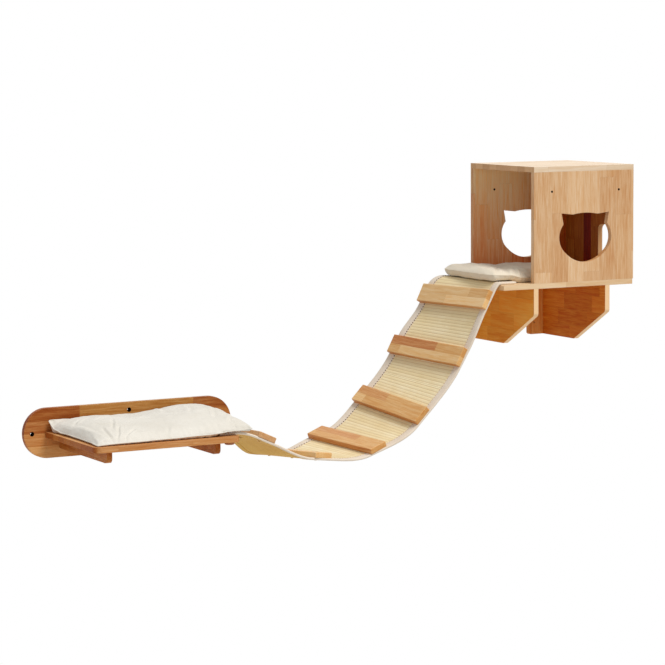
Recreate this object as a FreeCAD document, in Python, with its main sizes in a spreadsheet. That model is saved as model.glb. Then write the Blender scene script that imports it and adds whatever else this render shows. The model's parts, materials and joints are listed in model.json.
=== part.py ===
import FreeCAD, Part
import math
import os
import Sketcher

# Cat wall bridge: a shelf and a cube house on the same wall, joined by a hanging belt with six treads.
# Millimetres. X runs along the wall to the right, Z up, and the wall is the plane Y = 0, so the
# furniture stands out towards -Y. The origin is the shelf's left wall hole, on the wall.

V = FreeCAD.Vector

# Driving sizes. Each one goes into the spreadsheet under its own name.
SIZES = {
    # Boards
    "board": 18,
    "fit_gap": 0.1,
    "soft_gap": 0.4,
    "overrun": 5,
    "pick_margin": 1,
    # Shelf: a stadium backboard with three wall holes, a board and two fins
    "backboard_length": 735,
    "backboard_height": 162,
    "wall_hole_inset": 28,
    "wall_hole_radius": 3,
    "wall_hole_head_radius": 7,
    "wall_hole_head_depth": 9,
    "centre_hole_rise": 56,
    "shelf_start": 46,
    "shelf_length": 500,
    "shelf_depth": 410,
    "shelf_top": 4,
    "shelf_corner": 26,
    "shelf_fin_height": 38,
    "shelf_fin_setback": 26,
    "shelf_fin_nose": 16,
    "shelf_fin_left": 48,
    "shelf_fin_right": 62,
    # House: base board, front, back, side and top
    "house_start": 1650,
    "house_rise": 417,
    "house_width": 400,
    "house_depth": 408,
    "house_clear_height": 372,
    "base_reach": 118,
    "base_nose": 7,
    "base_end_gap": 3,
    "hole_drop": 84,
    "hole_inset": 71,
    "hole_inset_far": 60,
    "hole_radius": 3.5,
    "head_width": 209,
    "head_height": 169,
    "head_centre": 205,
    "head_chin": 65,
    "back_head_shift": 14,
    "back_head_drop": 9,
    "door_width": 150,
    "door_height": 178,
    "door_corner": 22,
    "door_front_margin": 20,
    # Brackets: a wall plate and a fin each
    "bracket_drop": 200,
    "plate_width": 134,
    "plate_corner": 8,
    "bracket_fin_front": 90,
    "bracket_fin_foot": 215,
    "bracket_fin_heel": 14,
    "bracket_left": 0,
    "bracket_right": 286,
    "plate_hole_radius": 3,
    "plate_hole_side": 46,
    "plate_hole_top": 48,
    "plate_hole_pitch": 110,
    # Belt: canvas, sisal, two bindings
    "belt_front_margin": 23,
    "belt_wall_margin": 35,
    "belt_thick": 8,
    "binding_width": 26,
    "binding_thick": 1.5,
    "canvas_thick": 1.6,
    "layer_gap": 0.15,
    "belt_lap_house": 52,
    "belt_lap_shelf": 56,
    "shelf_lip": 1,
    "base_lip": 4,
    # Treads
    "tread_width": 66,
    "tread_overhang": 1,
    "tread_round": 3,
    "tread_flat_margin": 6,
    "tread_screw_inset": 45,
    "screw_radius": 2,
    "screw_length": 19,
    "screw_head_radius": 4.2,
    "screw_head_height": 2.4,
    "washer_radius": 9,
    "washer_thick": 1.2,
    "belt_hole_radius": 2.6,
    # Anchors of the belt's two ends
    "anchor_radius": 3,
    "anchor_head_radius": 7,
    "anchor_head_height": 3,
    "anchor_washer_radius": 11,
    "shelf_anchor_inset": 16,
    "shelf_anchor_margin": 13,
    "house_anchor_inset": 27,
    "house_anchor_margin": 70,
    "anchor_screw_length": 15,
    "knob_radius": 16,
    "knob_height": 14,
    "knob_round": 4,
    # Hidden fasteners of the boards
    "dowel_radius": 4,
    "dowel_length": 30,
    "joint_screw_radius": 2.5,
    "joint_screw_length": 50,
    "joint_head_radius": 5,
    "joint_head_height": 4,
    # Cushions
    "shelf_cushion_edge_left": 38,
    "shelf_cushion_edge_right": 54,
    "shelf_cushion_crown": 18,
    "shelf_cushion_lap": 54,
    "shelf_cushion_inset": 6,
    "shelf_cushion_draw": 8,
    "house_cushion_edge_left": 47,
    "house_cushion_edge_right": 36,
    "house_cushion_crown": 6,
    "house_cushion_reach": 138,
    "house_cushion_end": 318,
    "house_cushion_wall_gap": 16,
    "house_cushion_draw": 9,
    "cushion_ramp": 30,
}

doc = FreeCAD.newDocument("cat_wall_bridge")
sheet = doc.addObject("Spreadsheet::Sheet", "sizes")
for row, (alias, value) in enumerate(SIZES.items(), 1):
    sheet.set("A%d" % row, alias)
    sheet.set("B%d" % row, str(value))
    sheet.setAlias("B%d" % row, alias)
doc.recompute()


def size(alias):
    """The value of one spreadsheet cell."""
    return float(sheet.get(alias))


def cells(formula):
    """A formula in sheet names, as the expression engine wants it."""
    words = formula.replace("(", " ( ").replace(")", " ) ").split()
    return " ".join("sizes." + word if word in SIZES else word for word in words)


def bind(item, **formulas):
    """Tie an object's properties to formulas in the sheet's names."""
    for prop, formula in formulas.items():
        item.setExpression(prop.replace("__", "."), cells(formula))


def box(name, length, width, height, at):
    item = doc.addObject("Part::Box", name)
    bind(item, Length=length, Width=width, Height=height)
    bind(item, Placement__Base__x=at[0], Placement__Base__y=at[1], Placement__Base__z=at[2])
    return item


TURNS = {"+y": (V(1, 0, 0), -90), "-y": (V(1, 0, 0), 90),
         "+z": (V(0, 0, 1), 0), "-z": (V(1, 0, 0), 180)}


def rod(name, radius, height, at, way):
    """A cylinder that starts at a point and runs one way along an axis."""
    item = doc.addObject("Part::Cylinder", name)
    item.Placement = FreeCAD.Placement(V(), FreeCAD.Rotation(*TURNS[way]))
    bind(item, Radius=radius, Height=height)
    bind(item, Placement__Base__x=at[0], Placement__Base__y=at[1], Placement__Base__z=at[2])
    return item


def together(name, items):
    """Several separate solids, or tools, as one object."""
    item = doc.addObject("Part::Compound", name)
    item.Links = items
    return item


def joined(name, items):
    item = doc.addObject("Part::MultiFuse", name)
    item.Shapes = items
    item.Refine = True
    return item


def cut(name, base, tools):
    item = doc.addObject("Part::Cut", name)
    item.Base = base
    item.Tool = tools[0] if len(tools) == 1 else together(name + "_tools", tools)
    return item


def rounded(name, base, radius, choose):
    """Round the edges that choose picks by their middle point and direction."""
    doc.recompute()
    item = doc.addObject("Part::Fillet", name)
    item.Base = base
    picked = []
    for number, edge in enumerate(base.Shape.Edges, 1):
        middle = edge.CenterOfMass
        way = edge.tangentAt(edge.FirstParameter)
        if choose(middle, way):
            picked.append((number, size(radius), size(radius)))
    item.Edges = picked
    return item


def solid(name, shape):
    """A piece whose shape comes straight from the formulas in this script."""
    item = doc.addObject("Part::Feature", name)
    item.Shape = shape
    return item


def profile_pad(name, corners, thickness):
    """A board sawn to a polygon in Y and Z: a sketch whose corners are tied to the sheet, and a pad."""
    body = doc.addObject("PartDesign::Body", name)
    sketch = body.newObject("Sketcher::SketchObject", name + "_outline")
    base = next(feature for feature in body.Origin.OriginFeatures if feature.Role == "YZ_Plane")
    sketch.AttachmentSupport = (base, [""])
    sketch.MapMode = "FlatFace"
    probe = doc.addObject("App::FeaturePython", name + "_probe")
    points = []
    for number, corner in enumerate(corners):
        pair = []
        for letter, formula in zip("uv", corner):
            field = "%s%d" % (letter, number)
            probe.addProperty("App::PropertyFloat", field)
            probe.setExpression(field, cells(formula))
            pair.append(field)
        points.append(pair)
    doc.recompute()
    spots = [V(getattr(probe, pair[0]), getattr(probe, pair[1]), 0) for pair in points]
    count = len(spots)
    for number in range(count):
        sketch.addGeometry(Part.LineSegment(spots[number], spots[(number + 1) % count]))
    for number in range(count):
        sketch.addConstraint(Sketcher.Constraint("Coincident", number, 2, (number + 1) % count, 1))
    for number, corner in enumerate(corners):
        for kind, place, formula in zip(("DistanceX", "DistanceY"), spots[number], corner):
            index = sketch.addConstraint(Sketcher.Constraint(kind, -1, 1, number, 1, place))
            sketch.setExpression("Constraints[%d]" % index, cells(formula))
    doc.removeObject(probe.Name)
    pad = body.newObject("PartDesign::Pad", name + "_board")
    pad.Profile = sketch
    pad.setExpression("Length", cells(thickness))
    sketch.Visibility = False
    doc.recompute()
    return body


NODES = []


def node(name, item):
    """Name a finished sub-part."""
    item.Label = name
    NODES.append(item)
    return item


# Places that several pieces share, worked out from the sheet
BOARD = size("board")
SHELF_END = size("shelf_start") + size("shelf_length")
SHELF_FRONT = -(BOARD + size("shelf_depth"))
SHELF_BASE = size("shelf_top") - BOARD
BASE_START = size("house_start") - size("base_reach")
BASE_TOP = size("house_rise") + BOARD
BELT_FRONT = -(size("house_depth") - size("belt_front_margin"))
BELT_BACK = -size("belt_wall_margin")
BELT_WIDE = BELT_BACK - BELT_FRONT
PICK = size("pick_margin")

# The same places as formulas for the sheet
BASE_TOP_F = "house_rise + board"
HOUSE_TOP_F = "house_rise + board + house_clear_height"
SHELF_BASE_F = "shelf_top - board"
BELT_WIDE_F = "( house_depth - belt_front_margin - belt_wall_margin )"
TREAD_LONG_F = "( house_depth - belt_front_margin - belt_wall_margin + 2 * tread_overhang )"

# The belt's run.
# Each row is one straight line across the belt, from its front edge to its back edge, on the
# walking face. Places are shares of the span and of the drop between the two boards. The last
# number is the belt's slope there. The rows named tread carry a tread, and the belt is flat there.
CROSSING_SHARES = [
    # front x, front z, back x, back z, slope at the front, slope at the back, what
    (0.111, -0.058, 0.101, -0.086, -24.7, -24.7, "tread"),
    (0.321, -0.232, 0.269, -0.283, -6.5, -6.5, "tread"),
    (0.530, -0.209, 0.477, -0.176, 19.0, 19.0, "tread"),
    (0.701, 0.014, 0.649, 0.109, 45.0, 45.0, "tread"),
    (0.858, 0.448, 0.783, 0.487, 59.0, 59.0, "tread"),
    (0.958, 0.882, 0.904, 0.879, 61.0, 61.0, "tread"),
    (0.996, 1.0145, 0.974, 1.022, 37.0, 2.0, "crest"),
]
SPAN_STEP_SHARES = (0.2, 0.4, 0.6, 0.8)
TANGENT_SHARE = 0.95


def heading(degrees):
    """The belt's direction in its X-Z plane at a slope."""
    angle = math.radians(degrees)
    return V(math.cos(angle), 0, math.sin(angle))


def hermite(start, start_way, end, end_way, share):
    """A point and a direction on the free curve between two crossings."""
    reach = (end - start).Length * TANGENT_SHARE
    pull_in = start_way * reach
    pull_out = end_way * reach
    s2 = share ** 2
    s3 = share ** 3
    place = (start * (2 * s3 - 3 * s2 + 1) + pull_in * (s3 - 2 * s2 + share)
             + end * (3 * s2 - 2 * s3) + pull_out * (s3 - s2))
    slope = (start * (6 * s2 - 6 * share) + pull_in * (3 * s2 - 4 * share + 1)
             + end * (6 * share - 6 * s2) + pull_out * (3 * s2 - 2 * share))
    return place, slope.normalize()


def belt_run():
    """Crossings of the walking face from the shelf to the house, and the tread frames."""
    span = BASE_START - SHELF_END
    drop = BASE_TOP - size("shelf_top")
    half = size("tread_width") / 2 + size("tread_flat_margin")
    level = V(1, 0, 0)
    shelf_z = size("shelf_top") + size("belt_thick")
    base_z = BASE_TOP + size("belt_thick")

    def across(x, z):
        return V(x, BELT_FRONT, z), V(x, BELT_BACK, z)

    shelf_lap = SHELF_END - size("belt_lap_shelf")
    shelf_edge = SHELF_END + size("shelf_lip")
    base_edge = BASE_START + size("base_nose") + size("base_lip")
    base_lap = base_edge + size("belt_lap_house")
    run = [across(shelf_lap, shelf_z) + (level, level), across(shelf_edge, shelf_z) + (level, level)]
    frames = []
    for front_x, front_z, back_x, back_z, front_slope, back_slope, what in CROSSING_SHARES:
        front = V(SHELF_END + front_x * span, BELT_FRONT, size("shelf_top") + front_z * drop)
        back = V(SHELF_END + back_x * span, BELT_BACK, size("shelf_top") + back_z * drop)
        front_way = heading(front_slope)
        back_way = heading(back_slope)
        if what == "tread":
            step = front_way * half
            run.append((front - step, back - step, front_way, front_way))
            run.append((front + step, back + step, front_way, front_way))
            frames.append((front, back, front_way))
        else:
            run.append((front, back, front_way, back_way))
    run.append(across(base_edge, base_z) + (level, level))
    run.append(across(base_lap, base_z) + (level, level))

    crossings = [run[0]]
    for here, there in zip(run, run[1:]):
        straight = (there[0] - here[0]).normalize().isEqual(here[2], 1e-6)
        if not straight:
            for share in SPAN_STEP_SHARES:
                front, front_way = hermite(here[0], here[2], there[0], there[2], share)
                back, back_way = hermite(here[1], here[3], there[1], there[3], share)
                crossings.append((front, back, front_way, back_way))
        crossings.append(there)
    return crossings, frames


CROSSINGS, TREAD_FRAMES = belt_run()


def belt_layer(section):
    """A solid along the whole belt. Section gives corners as (distance from the front edge, depth)."""
    wires = []
    for front, back, front_way, back_way in CROSSINGS:
        across = back - front
        front_up = (across.cross(front_way) * -1).normalize()
        back_up = (across.cross(back_way) * -1).normalize()
        corners = []
        for distance, depth in section:
            share = distance / BELT_WIDE
            up = front_up * (1 - share) + back_up * share
            corners.append(front + across * share - up * depth)
        wires.append(Part.makePolygon(corners + corners[:1]))
    return Part.makeLoft(wires, True, True)


# Shelf backboard: a plank with half-round ends, three counterbored wall holes and a level top line.
plank = box("backboard_plank", "backboard_length - backboard_height", "board", "backboard_height",
            ("backboard_height / 2 - wall_hole_inset", "- board", "- backboard_height / 2"))
left_end = rod("backboard_left_end", "backboard_height / 2", "board",
               ("backboard_height / 2 - wall_hole_inset", "0", "0"), "-y")
right_end = rod("backboard_right_end", "backboard_height / 2", "board",
                ("backboard_length - backboard_height / 2 - wall_hole_inset", "0", "0"), "-y")
backboard_blank = joined("backboard_blank", [plank, left_end, right_end])
CENTRE_X = "backboard_length / 2 - wall_hole_inset"
RIGHT_HOLE_X = "backboard_length - 2 * wall_hole_inset"
wall_holes = []
for label, hole_x, hole_z in (("left", "0", "0"), ("centre", CENTRE_X, "centre_hole_rise"),
                              ("right", RIGHT_HOLE_X, "0")):
    wall_holes.append(rod("wall_hole_" + label, "wall_hole_radius", "board + 2 * overrun",
                          (hole_x, "overrun", hole_z), "-y"))
    wall_holes.append(rod("wall_hole_head_" + label, "wall_hole_head_radius",
                          "wall_hole_head_depth + overrun",
                          (hole_x, "- board - overrun", hole_z), "+y"))
backboard = cut("backboard_drilled", backboard_blank, wall_holes)

# Shelf board: flat on the backboard's face, with two round front corners.
shelf_blank = box("shelf_blank", "shelf_length", "shelf_depth", "board",
                  ("shelf_start", "- board - shelf_depth", SHELF_BASE_F))
shelf_board = rounded("shelf_board_round", shelf_blank, "shelf_corner",
                      lambda middle, way: abs(way.z) > 0.9 and middle.y < SHELF_FRONT / 2)

# The two fins under the shelf: constant height, with a round nose.
SHELF_FIN_PROFILE = (
    ("- board", SHELF_BASE_F),
    ("- board", "shelf_top - board - shelf_fin_height"),
    ("- board - shelf_depth + shelf_fin_setback", "shelf_top - board - shelf_fin_height"),
    ("- board - shelf_depth + shelf_fin_setback", SHELF_BASE_F),
)
SHELF_FIN_STARTS = {
    "left": "shelf_start + shelf_fin_left",
    "right": "shelf_start + shelf_length - shelf_fin_right - board",
}
shelf_fins = {}
for side, start in SHELF_FIN_STARTS.items():
    blank = profile_pad("shelf_fin_blank_" + side, SHELF_FIN_PROFILE, "board")
    blank.setExpression("Placement.Base.x", cells(start))
    fin_low = SHELF_BASE - size("shelf_fin_height")
    shelf_fins[side] = rounded("shelf_fin_round_" + side, blank, "shelf_fin_nose",
                               lambda middle, way: abs(way.x) > 0.9 and middle.z < fin_low + PICK
                               and middle.y < SHELF_FRONT / 2)

# Screws through the backboard into the shelf board, from the wall side.
SHELF_SCREW_SHARES = (0.1, 0.37, 0.63, 0.9)


def screw(name, at, way, radius, length, head_radius, head_height, head_way):
    """A countersunk or flush screw: a shank and a head that share one axis."""
    shank = rod(name + "_shank", radius, length, at, way)
    cap = rod(name + "_cap", head_radius, head_height, at, head_way)
    return joined(name, [shank, cap])


def joint_screw(name, at, way):
    """One flush wood screw whose head ends level with the outer face."""
    return screw(name, at, way, "joint_screw_radius", "joint_screw_length",
                 "joint_head_radius", "joint_head_height", way)


def joint_hole(name, at, way):
    """The hole that such a screw fills."""
    return screw(name, at, way, "joint_screw_radius + fit_gap", "joint_screw_length + fit_gap",
                 "joint_head_radius + fit_gap", "joint_head_height + fit_gap", way)


def screw_group(name, places, way):
    """A row of equal screws and the holes for them."""
    screws = [joint_screw("%s_%d" % (name, count), place, way) for count, place in enumerate(places)]
    holes = [joint_hole("%s_hole_%d" % (name, count), place, way) for count, place in enumerate(places)]
    return together(name, screws), together(name + "_holes", holes)


shelf_screw_places = [("shelf_start + %g * shelf_length" % share, "0", "shelf_top - board / 2")
                      for share in SHELF_SCREW_SHARES]
shelf_screws, shelf_screw_holes = screw_group("shelf_screw", shelf_screw_places, "-y")

# Screws down through the shelf board into its fins, hidden by the cushion.
FIN_SCREW_SHARES = (0.22, 0.78)
fin_screw_places = [(start + " + board / 2", "- board - %g * shelf_depth" % share, "shelf_top")
                    for start in SHELF_FIN_STARTS.values() for share in FIN_SCREW_SHARES]
fin_screws, fin_screw_holes = screw_group("fin_screw", fin_screw_places, "-z")

# Bolts that clamp the belt's lower end on the shelf board, with round knobs below.
SHELF_ANCHOR_X = "shelf_start + shelf_length - shelf_anchor_inset"
HOUSE_ANCHOR_X = "house_start - base_reach + base_nose + base_lip + house_anchor_inset"
ANCHOR_SHARES = (0, 0.5, 1)
SUNK_F = " - binding_thick - layer_gap"


def anchor_y(share, margin):
    """Anchors stand in a row across the belt, a margin inside its two edges."""
    front = "- house_depth + belt_front_margin + " + margin
    return "%s + %g * ( %s - 2 * %s )" % (front, share, BELT_WIDE_F, margin)


WALK_ON_SHELF = "shelf_top + belt_thick"
WALK_ON_BASE = BASE_TOP_F + " + belt_thick"


def anchor_seat(name, x, y, z):
    """A washer lying on the belt."""
    ring = rod(name + "_ring", "anchor_washer_radius", "washer_thick", (x, y, z), "+z")
    bore = rod(name + "_bore", "anchor_radius + fit_gap", "washer_thick + 2 * overrun",
               (x, y, z + " - overrun"), "+z")
    return cut(name, ring, [bore])


anchor_washers = {"shelf": [], "house": []}
anchor_bolts = []
anchor_screws = []
knobs = []
shelf_anchor_holes = []
house_anchor_holes = []
belt_anchor_holes = []
for count, share in enumerate(ANCHOR_SHARES):
    # The outer bolts at the shelf go through the bindings, and the other anchors lie on the sisal.
    y = anchor_y(share, "shelf_anchor_margin")
    name = "shelf_anchor_%d" % count
    sunk = SUNK_F if share == 0.5 else ""
    seat_z = WALK_ON_SHELF + sunk
    head_z = seat_z + " + washer_thick"
    anchor_washers["shelf"].append(anchor_seat(name + "_washer", SHELF_ANCHOR_X, y, seat_z))
    anchor_bolts.append(joined(name, [
        rod(name + "_head", "anchor_head_radius", "anchor_head_height - washer_thick",
            (SHELF_ANCHOR_X, y, head_z), "+z"),
        rod(name + "_shank", "anchor_radius",
            "washer_thick + belt_thick + board + knob_height / 2" + sunk,
            (SHELF_ANCHOR_X, y, head_z), "-z")]))
    shelf_anchor_holes.append(rod(name + "_hole", "anchor_radius + fit_gap", "board + 2 * overrun",
                                  (SHELF_ANCHOR_X, y, "shelf_top + overrun"), "-z"))
    knob = rounded(name + "_knob", rod(name + "_knob_blank", "knob_radius", "knob_height",
                                       (SHELF_ANCHOR_X, y, SHELF_BASE_F), "-z"), "knob_round",
                   lambda middle, way: middle.z < SHELF_BASE - size("knob_height") + PICK)
    knobs.append(cut(name + "_knob_drilled", knob, [
        rod(name + "_knob_bore", "anchor_radius + fit_gap", "knob_height / 2 + fit_gap + overrun",
            (SHELF_ANCHOR_X, y, SHELF_BASE_F + " + overrun"), "-z")]))
    belt_anchor_holes.append(rod(name + "_belt_hole", "belt_hole_radius + anchor_radius - screw_radius",
                                 "belt_thick + 2 * overrun",
                                 (SHELF_ANCHOR_X, y, "shelf_top - overrun"), "+z"))
    y = anchor_y(share, "house_anchor_margin")
    name = "house_anchor_%d" % count
    seat_z = WALK_ON_BASE + SUNK_F
    head_z = seat_z + " + washer_thick"
    anchor_washers["house"].append(anchor_seat(name + "_washer", HOUSE_ANCHOR_X, y, seat_z))
    anchor_screws.append(joined(name, [
        rod(name + "_head", "anchor_head_radius", "anchor_head_height - washer_thick",
            (HOUSE_ANCHOR_X, y, head_z), "+z"),
        rod(name + "_shank", "anchor_radius",
            "washer_thick + belt_thick + anchor_screw_length" + SUNK_F,
            (HOUSE_ANCHOR_X, y, head_z), "-z")]))
    house_anchor_holes.append(rod(name + "_hole", "anchor_radius + fit_gap",
                                  "anchor_screw_length + fit_gap + overrun",
                                  (HOUSE_ANCHOR_X, y, BASE_TOP_F + " + overrun"), "-z"))
    belt_anchor_holes.append(rod(name + "_belt_hole", "belt_hole_radius + anchor_radius - screw_radius",
                                 "belt_thick + 2 * overrun",
                                 (HOUSE_ANCHOR_X, y, BASE_TOP_F + " - overrun"), "+z"))

node("shelf_backboard", cut("shelf_backboard_solid", backboard, [shelf_screw_holes]))
node("shelf_board", cut("shelf_board_solid", shelf_board,
                        [shelf_screw_holes, fin_screw_holes] + shelf_anchor_holes))
for side, fin in shelf_fins.items():
    node("shelf_fin_" + side, cut("shelf_fin_solid_" + side, fin, [fin_screw_holes]))
node("shelf_rear_screws", shelf_screws)
node("shelf_fin_screws", fin_screws)
node("shelf_anchor_bolts", together("shelf_anchor_bolt_group", anchor_bolts))
node("shelf_anchor_washers", together("shelf_anchor_washer_group", anchor_washers["shelf"]))
node("shelf_anchor_knobs", together("shelf_anchor_knob_group", knobs))

# House panels. The cat head is cut through the front and the back.
# Corners of the head's outline, as shares of its width from its centre and of its height from its
# chin, in the order chin, left cheek, left neck, left ear, brow, right ear, right neck, right cheek.
HEAD_EAR_SHARES = (0.455, 0.985)
HEAD_EAR_FOOT_SHARES = (0.24, 0.955)
HEAD_BROW_SHARE = 0.985
HEAD_NECK_SHARES = (0.42, 0.76)
HEAD_CHEEK_SHARES = (0.5, 0.50)
HEAD_JAW_SHARES = (0.375, 0.19)


def head_cutter(name, y_from, y_to, centre, chin):
    """A cat's head, as a prism between two planes."""
    wide = size("head_width")
    tall = size("head_height")

    def spot(share_x, share_z):
        return V(centre + share_x * wide, y_from, chin + share_z * tall)

    right = [spot(*HEAD_JAW_SHARES), spot(*HEAD_CHEEK_SHARES), spot(*HEAD_NECK_SHARES),
             spot(*HEAD_EAR_SHARES), spot(*HEAD_EAR_FOOT_SHARES)]
    left = [spot(-x, z) for x, z in (HEAD_JAW_SHARES, HEAD_CHEEK_SHARES, HEAD_NECK_SHARES,
                                     HEAD_EAR_SHARES, HEAD_EAR_FOOT_SHARES)]
    outline = [
        Part.Arc(left[0], spot(0, 0), right[0]).toShape(),
        Part.Arc(right[0], right[1], right[2]).toShape(),
        Part.LineSegment(right[2], right[3]).toShape(),
        Part.LineSegment(right[3], right[4]).toShape(),
        Part.Arc(right[4], spot(0, HEAD_BROW_SHARE), left[4]).toShape(),
        Part.LineSegment(left[4], left[3]).toShape(),
        Part.LineSegment(left[3], left[2]).toShape(),
        Part.Arc(left[2], left[1], left[0]).toShape(),
    ]
    return solid(name, Part.Face(Part.Wire(outline)).extrude(V(0, y_to - y_from, 0)))


HOUSE_START = size("house_start")
HOUSE_FRONT = -size("house_depth")
HEAD_CENTRE = HOUSE_START + size("head_centre")
HEAD_CHIN = BASE_TOP + size("head_chin")

front_panel = box("front_blank", "house_width", "board", "house_clear_height",
                  ("house_start", "- house_depth", BASE_TOP_F))
back_panel = box("back_blank", "house_width", "board", "house_clear_height",
                 ("house_start", "- board", BASE_TOP_F))
side_panel = box("side_blank", "board", "house_depth - 2 * board", "house_clear_height",
                 ("house_start + house_width - board", "- house_depth + board", BASE_TOP_F))
top_panel = box("top_blank", "house_width", "house_depth", "board",
                ("house_start", "- house_depth", HOUSE_TOP_F))
base_blank = box("base_blank", "house_width + base_reach - base_end_gap", "house_depth", "board",
                 ("house_start - base_reach", "- house_depth", "house_rise"))
base_board = rounded("base_nose_round", base_blank, "base_nose",
                     lambda middle, way: abs(way.y) > 0.9 and middle.x < BASE_START + PICK
                     and middle.z > BASE_TOP - PICK)

front_head = head_cutter("front_head", HOUSE_FRONT - size("overrun"),
                         HOUSE_FRONT + BOARD + size("overrun"), HEAD_CENTRE, HEAD_CHIN)
back_head = head_cutter("back_head", -BOARD - size("overrun"), size("overrun"),
                        HEAD_CENTRE + size("back_head_shift"), HEAD_CHIN - size("back_head_drop"))


def panel_holes(name, y, shift, drop):
    """Two plain screw holes under the top edge, moved with the panel's cat head."""
    height = HOUSE_TOP_F + " + board - hole_drop - " + drop
    near = rod(name + "_near", "hole_radius", "board + 2 * overrun",
               ("house_start + hole_inset + " + shift, y, height), "+y")
    far = rod(name + "_far", "hole_radius", "board + 2 * overrun",
              ("house_start + house_width - hole_inset_far + " + shift, y, height), "+y")
    return [near, far]


front_holes = panel_holes("front_hole", "- house_depth - overrun", "0", "0")
back_holes = panel_holes("back_hole", "- board - overrun", "back_head_shift", "back_head_drop")

# The side panel's doorway: open at the floor, with two round top corners.
DOOR_TOP = BASE_TOP + size("door_height")
door_blank = box("door_blank", "board + 2 * overrun", "door_width", "door_height + overrun",
                 ("house_start + house_width - board - overrun",
                  "- house_depth + board + door_front_margin", BASE_TOP_F + " - overrun"))
door = rounded("door_round", door_blank, "door_corner",
               lambda middle, way: abs(way.x) > 0.9 and middle.z > DOOR_TOP - PICK)

# Dowels between the panels, with a little more than half their length before the joint.
DOWEL_LEAD_SHARE = 0.6


def dowels(name, places, way, lead):
    """Dowels that start before a joint plane and end beyond it, and the holes for them."""
    pins = []
    holes = []
    for count, place in enumerate(places):
        start = list(place)
        start[lead[0]] = place[lead[0]] + " " + lead[1] + " dowel_length * %g" % DOWEL_LEAD_SHARE
        wide = list(place)
        wide[lead[0]] = start[lead[0]] + " " + lead[1] + " fit_gap"
        pins.append(rod("%s_%d" % (name, count), "dowel_radius", "dowel_length", start, way))
        holes.append(rod("%s_hole_%d" % (name, count), "dowel_radius + fit_gap",
                         "dowel_length + 2 * fit_gap", wide, way))
    return together(name, pins), together(name + "_holes", holes)


PANEL_DOWEL_SHARES = (0.12, 0.5, 0.88)
top_places = []
for share in PANEL_DOWEL_SHARES:
    x = "house_start + %g * house_width" % share
    top_places.append((x, "- house_depth + board / 2", HOUSE_TOP_F))
    top_places.append((x, "- board / 2", HOUSE_TOP_F))
top_dowels, top_dowel_holes = dowels("top_dowel", top_places, "+z", (2, "-"))
SIDE_DOWEL_SHARES = (0.2, 0.8)
side_front_places = []
side_back_places = []
for share in SIDE_DOWEL_SHARES:
    z = "house_rise + board + %g * house_clear_height" % share
    x = "house_start + house_width - board / 2"
    side_back_places.append((x, "- board", z))
    side_front_places.append((x, "- house_depth + board", z))
back_dowels, back_dowel_holes = dowels("back_dowel", side_back_places, "+y", (1, "-"))
front_dowels, front_dowel_holes = dowels("front_dowel", side_front_places, "-y", (1, "+"))
side_dowels = together("side_dowel_group", [back_dowels, front_dowels])

# Screws up through the base board into the front and back panels.
BASE_SCREW_SHARES = (0.2, 0.62, 0.94)
base_screw_places = []
for share in BASE_SCREW_SHARES:
    x = "house_start + %g * house_width" % share
    base_screw_places.append((x, "- house_depth + board / 2", "house_rise"))
    base_screw_places.append((x, "- board / 2", "house_rise"))
base_screws, base_screw_holes = screw_group("base_screw", base_screw_places, "+z")

# Brackets: each has a wall plate, which stands under the base board, and a fin on its middle.
FIN_PROFILE = (
    ("- board", "house_rise"),
    ("- board", "house_rise - bracket_drop"),
    ("- bracket_fin_foot", "house_rise - bracket_drop"),
    ("- house_depth", "house_rise - bracket_fin_front"),
    ("- house_depth", "house_rise"),
)
FIN_SCREW_Z_SHARES = (0.2, 0.8)
DECK_SCREW_SHARES = (0.3, 0.7)
plates = {}
fins = {}
fin_screw_rows = []
deck_screw_rows = []
for side in ("left", "right"):
    start = "house_start + bracket_" + side
    plate = box("plate_blank_" + side, "plate_width", "board", "bracket_drop",
                (start + " + board / 2 - plate_width / 2", "- board", "house_rise - bracket_drop"))
    plate = rounded("plate_round_" + side, plate, "plate_corner",
                    lambda middle, way: abs(way.y) > 0.9 and middle.z < size("house_rise") - BOARD)
    holes = []
    for way, tag in ((-1, "l"), (1, "r")):
        for count in range(2):
            holes.append(rod("plate_hole_%s_%s%d" % (side, tag, count), "plate_hole_radius",
                             "board + 2 * overrun",
                             (start + " + board / 2 + %d * plate_hole_side" % way, "overrun",
                              "house_rise - plate_hole_top - %d * plate_hole_pitch" % count), "-y"))
    plates[side] = cut("plate_drilled_" + side, plate, holes)
    blank = profile_pad("fin_blank_" + side, FIN_PROFILE, "board")
    blank.setExpression("Placement.Base.x", cells(start))
    fin_front_low = size("house_rise") - size("bracket_fin_front")
    fins[side] = rounded("fin_round_" + side, blank, "bracket_fin_heel",
                         lambda middle, way: abs(way.x) > 0.9 and middle.z < fin_front_low + PICK
                         and middle.y < -BOARD - PICK)
    for share in FIN_SCREW_Z_SHARES:
        fin_screw_rows.append((start + " + board / 2", "0", "house_rise - %g * bracket_drop" % share))
    for share in DECK_SCREW_SHARES:
        deck_screw_rows.append((start + " + board / 2", "- %g * house_depth" % share, BASE_TOP_F))
bracket_screws, bracket_screw_holes = screw_group("bracket_screw", fin_screw_rows, "-y")
deck_screws, deck_screw_holes = screw_group("deck_screw", deck_screw_rows, "-z")

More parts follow.
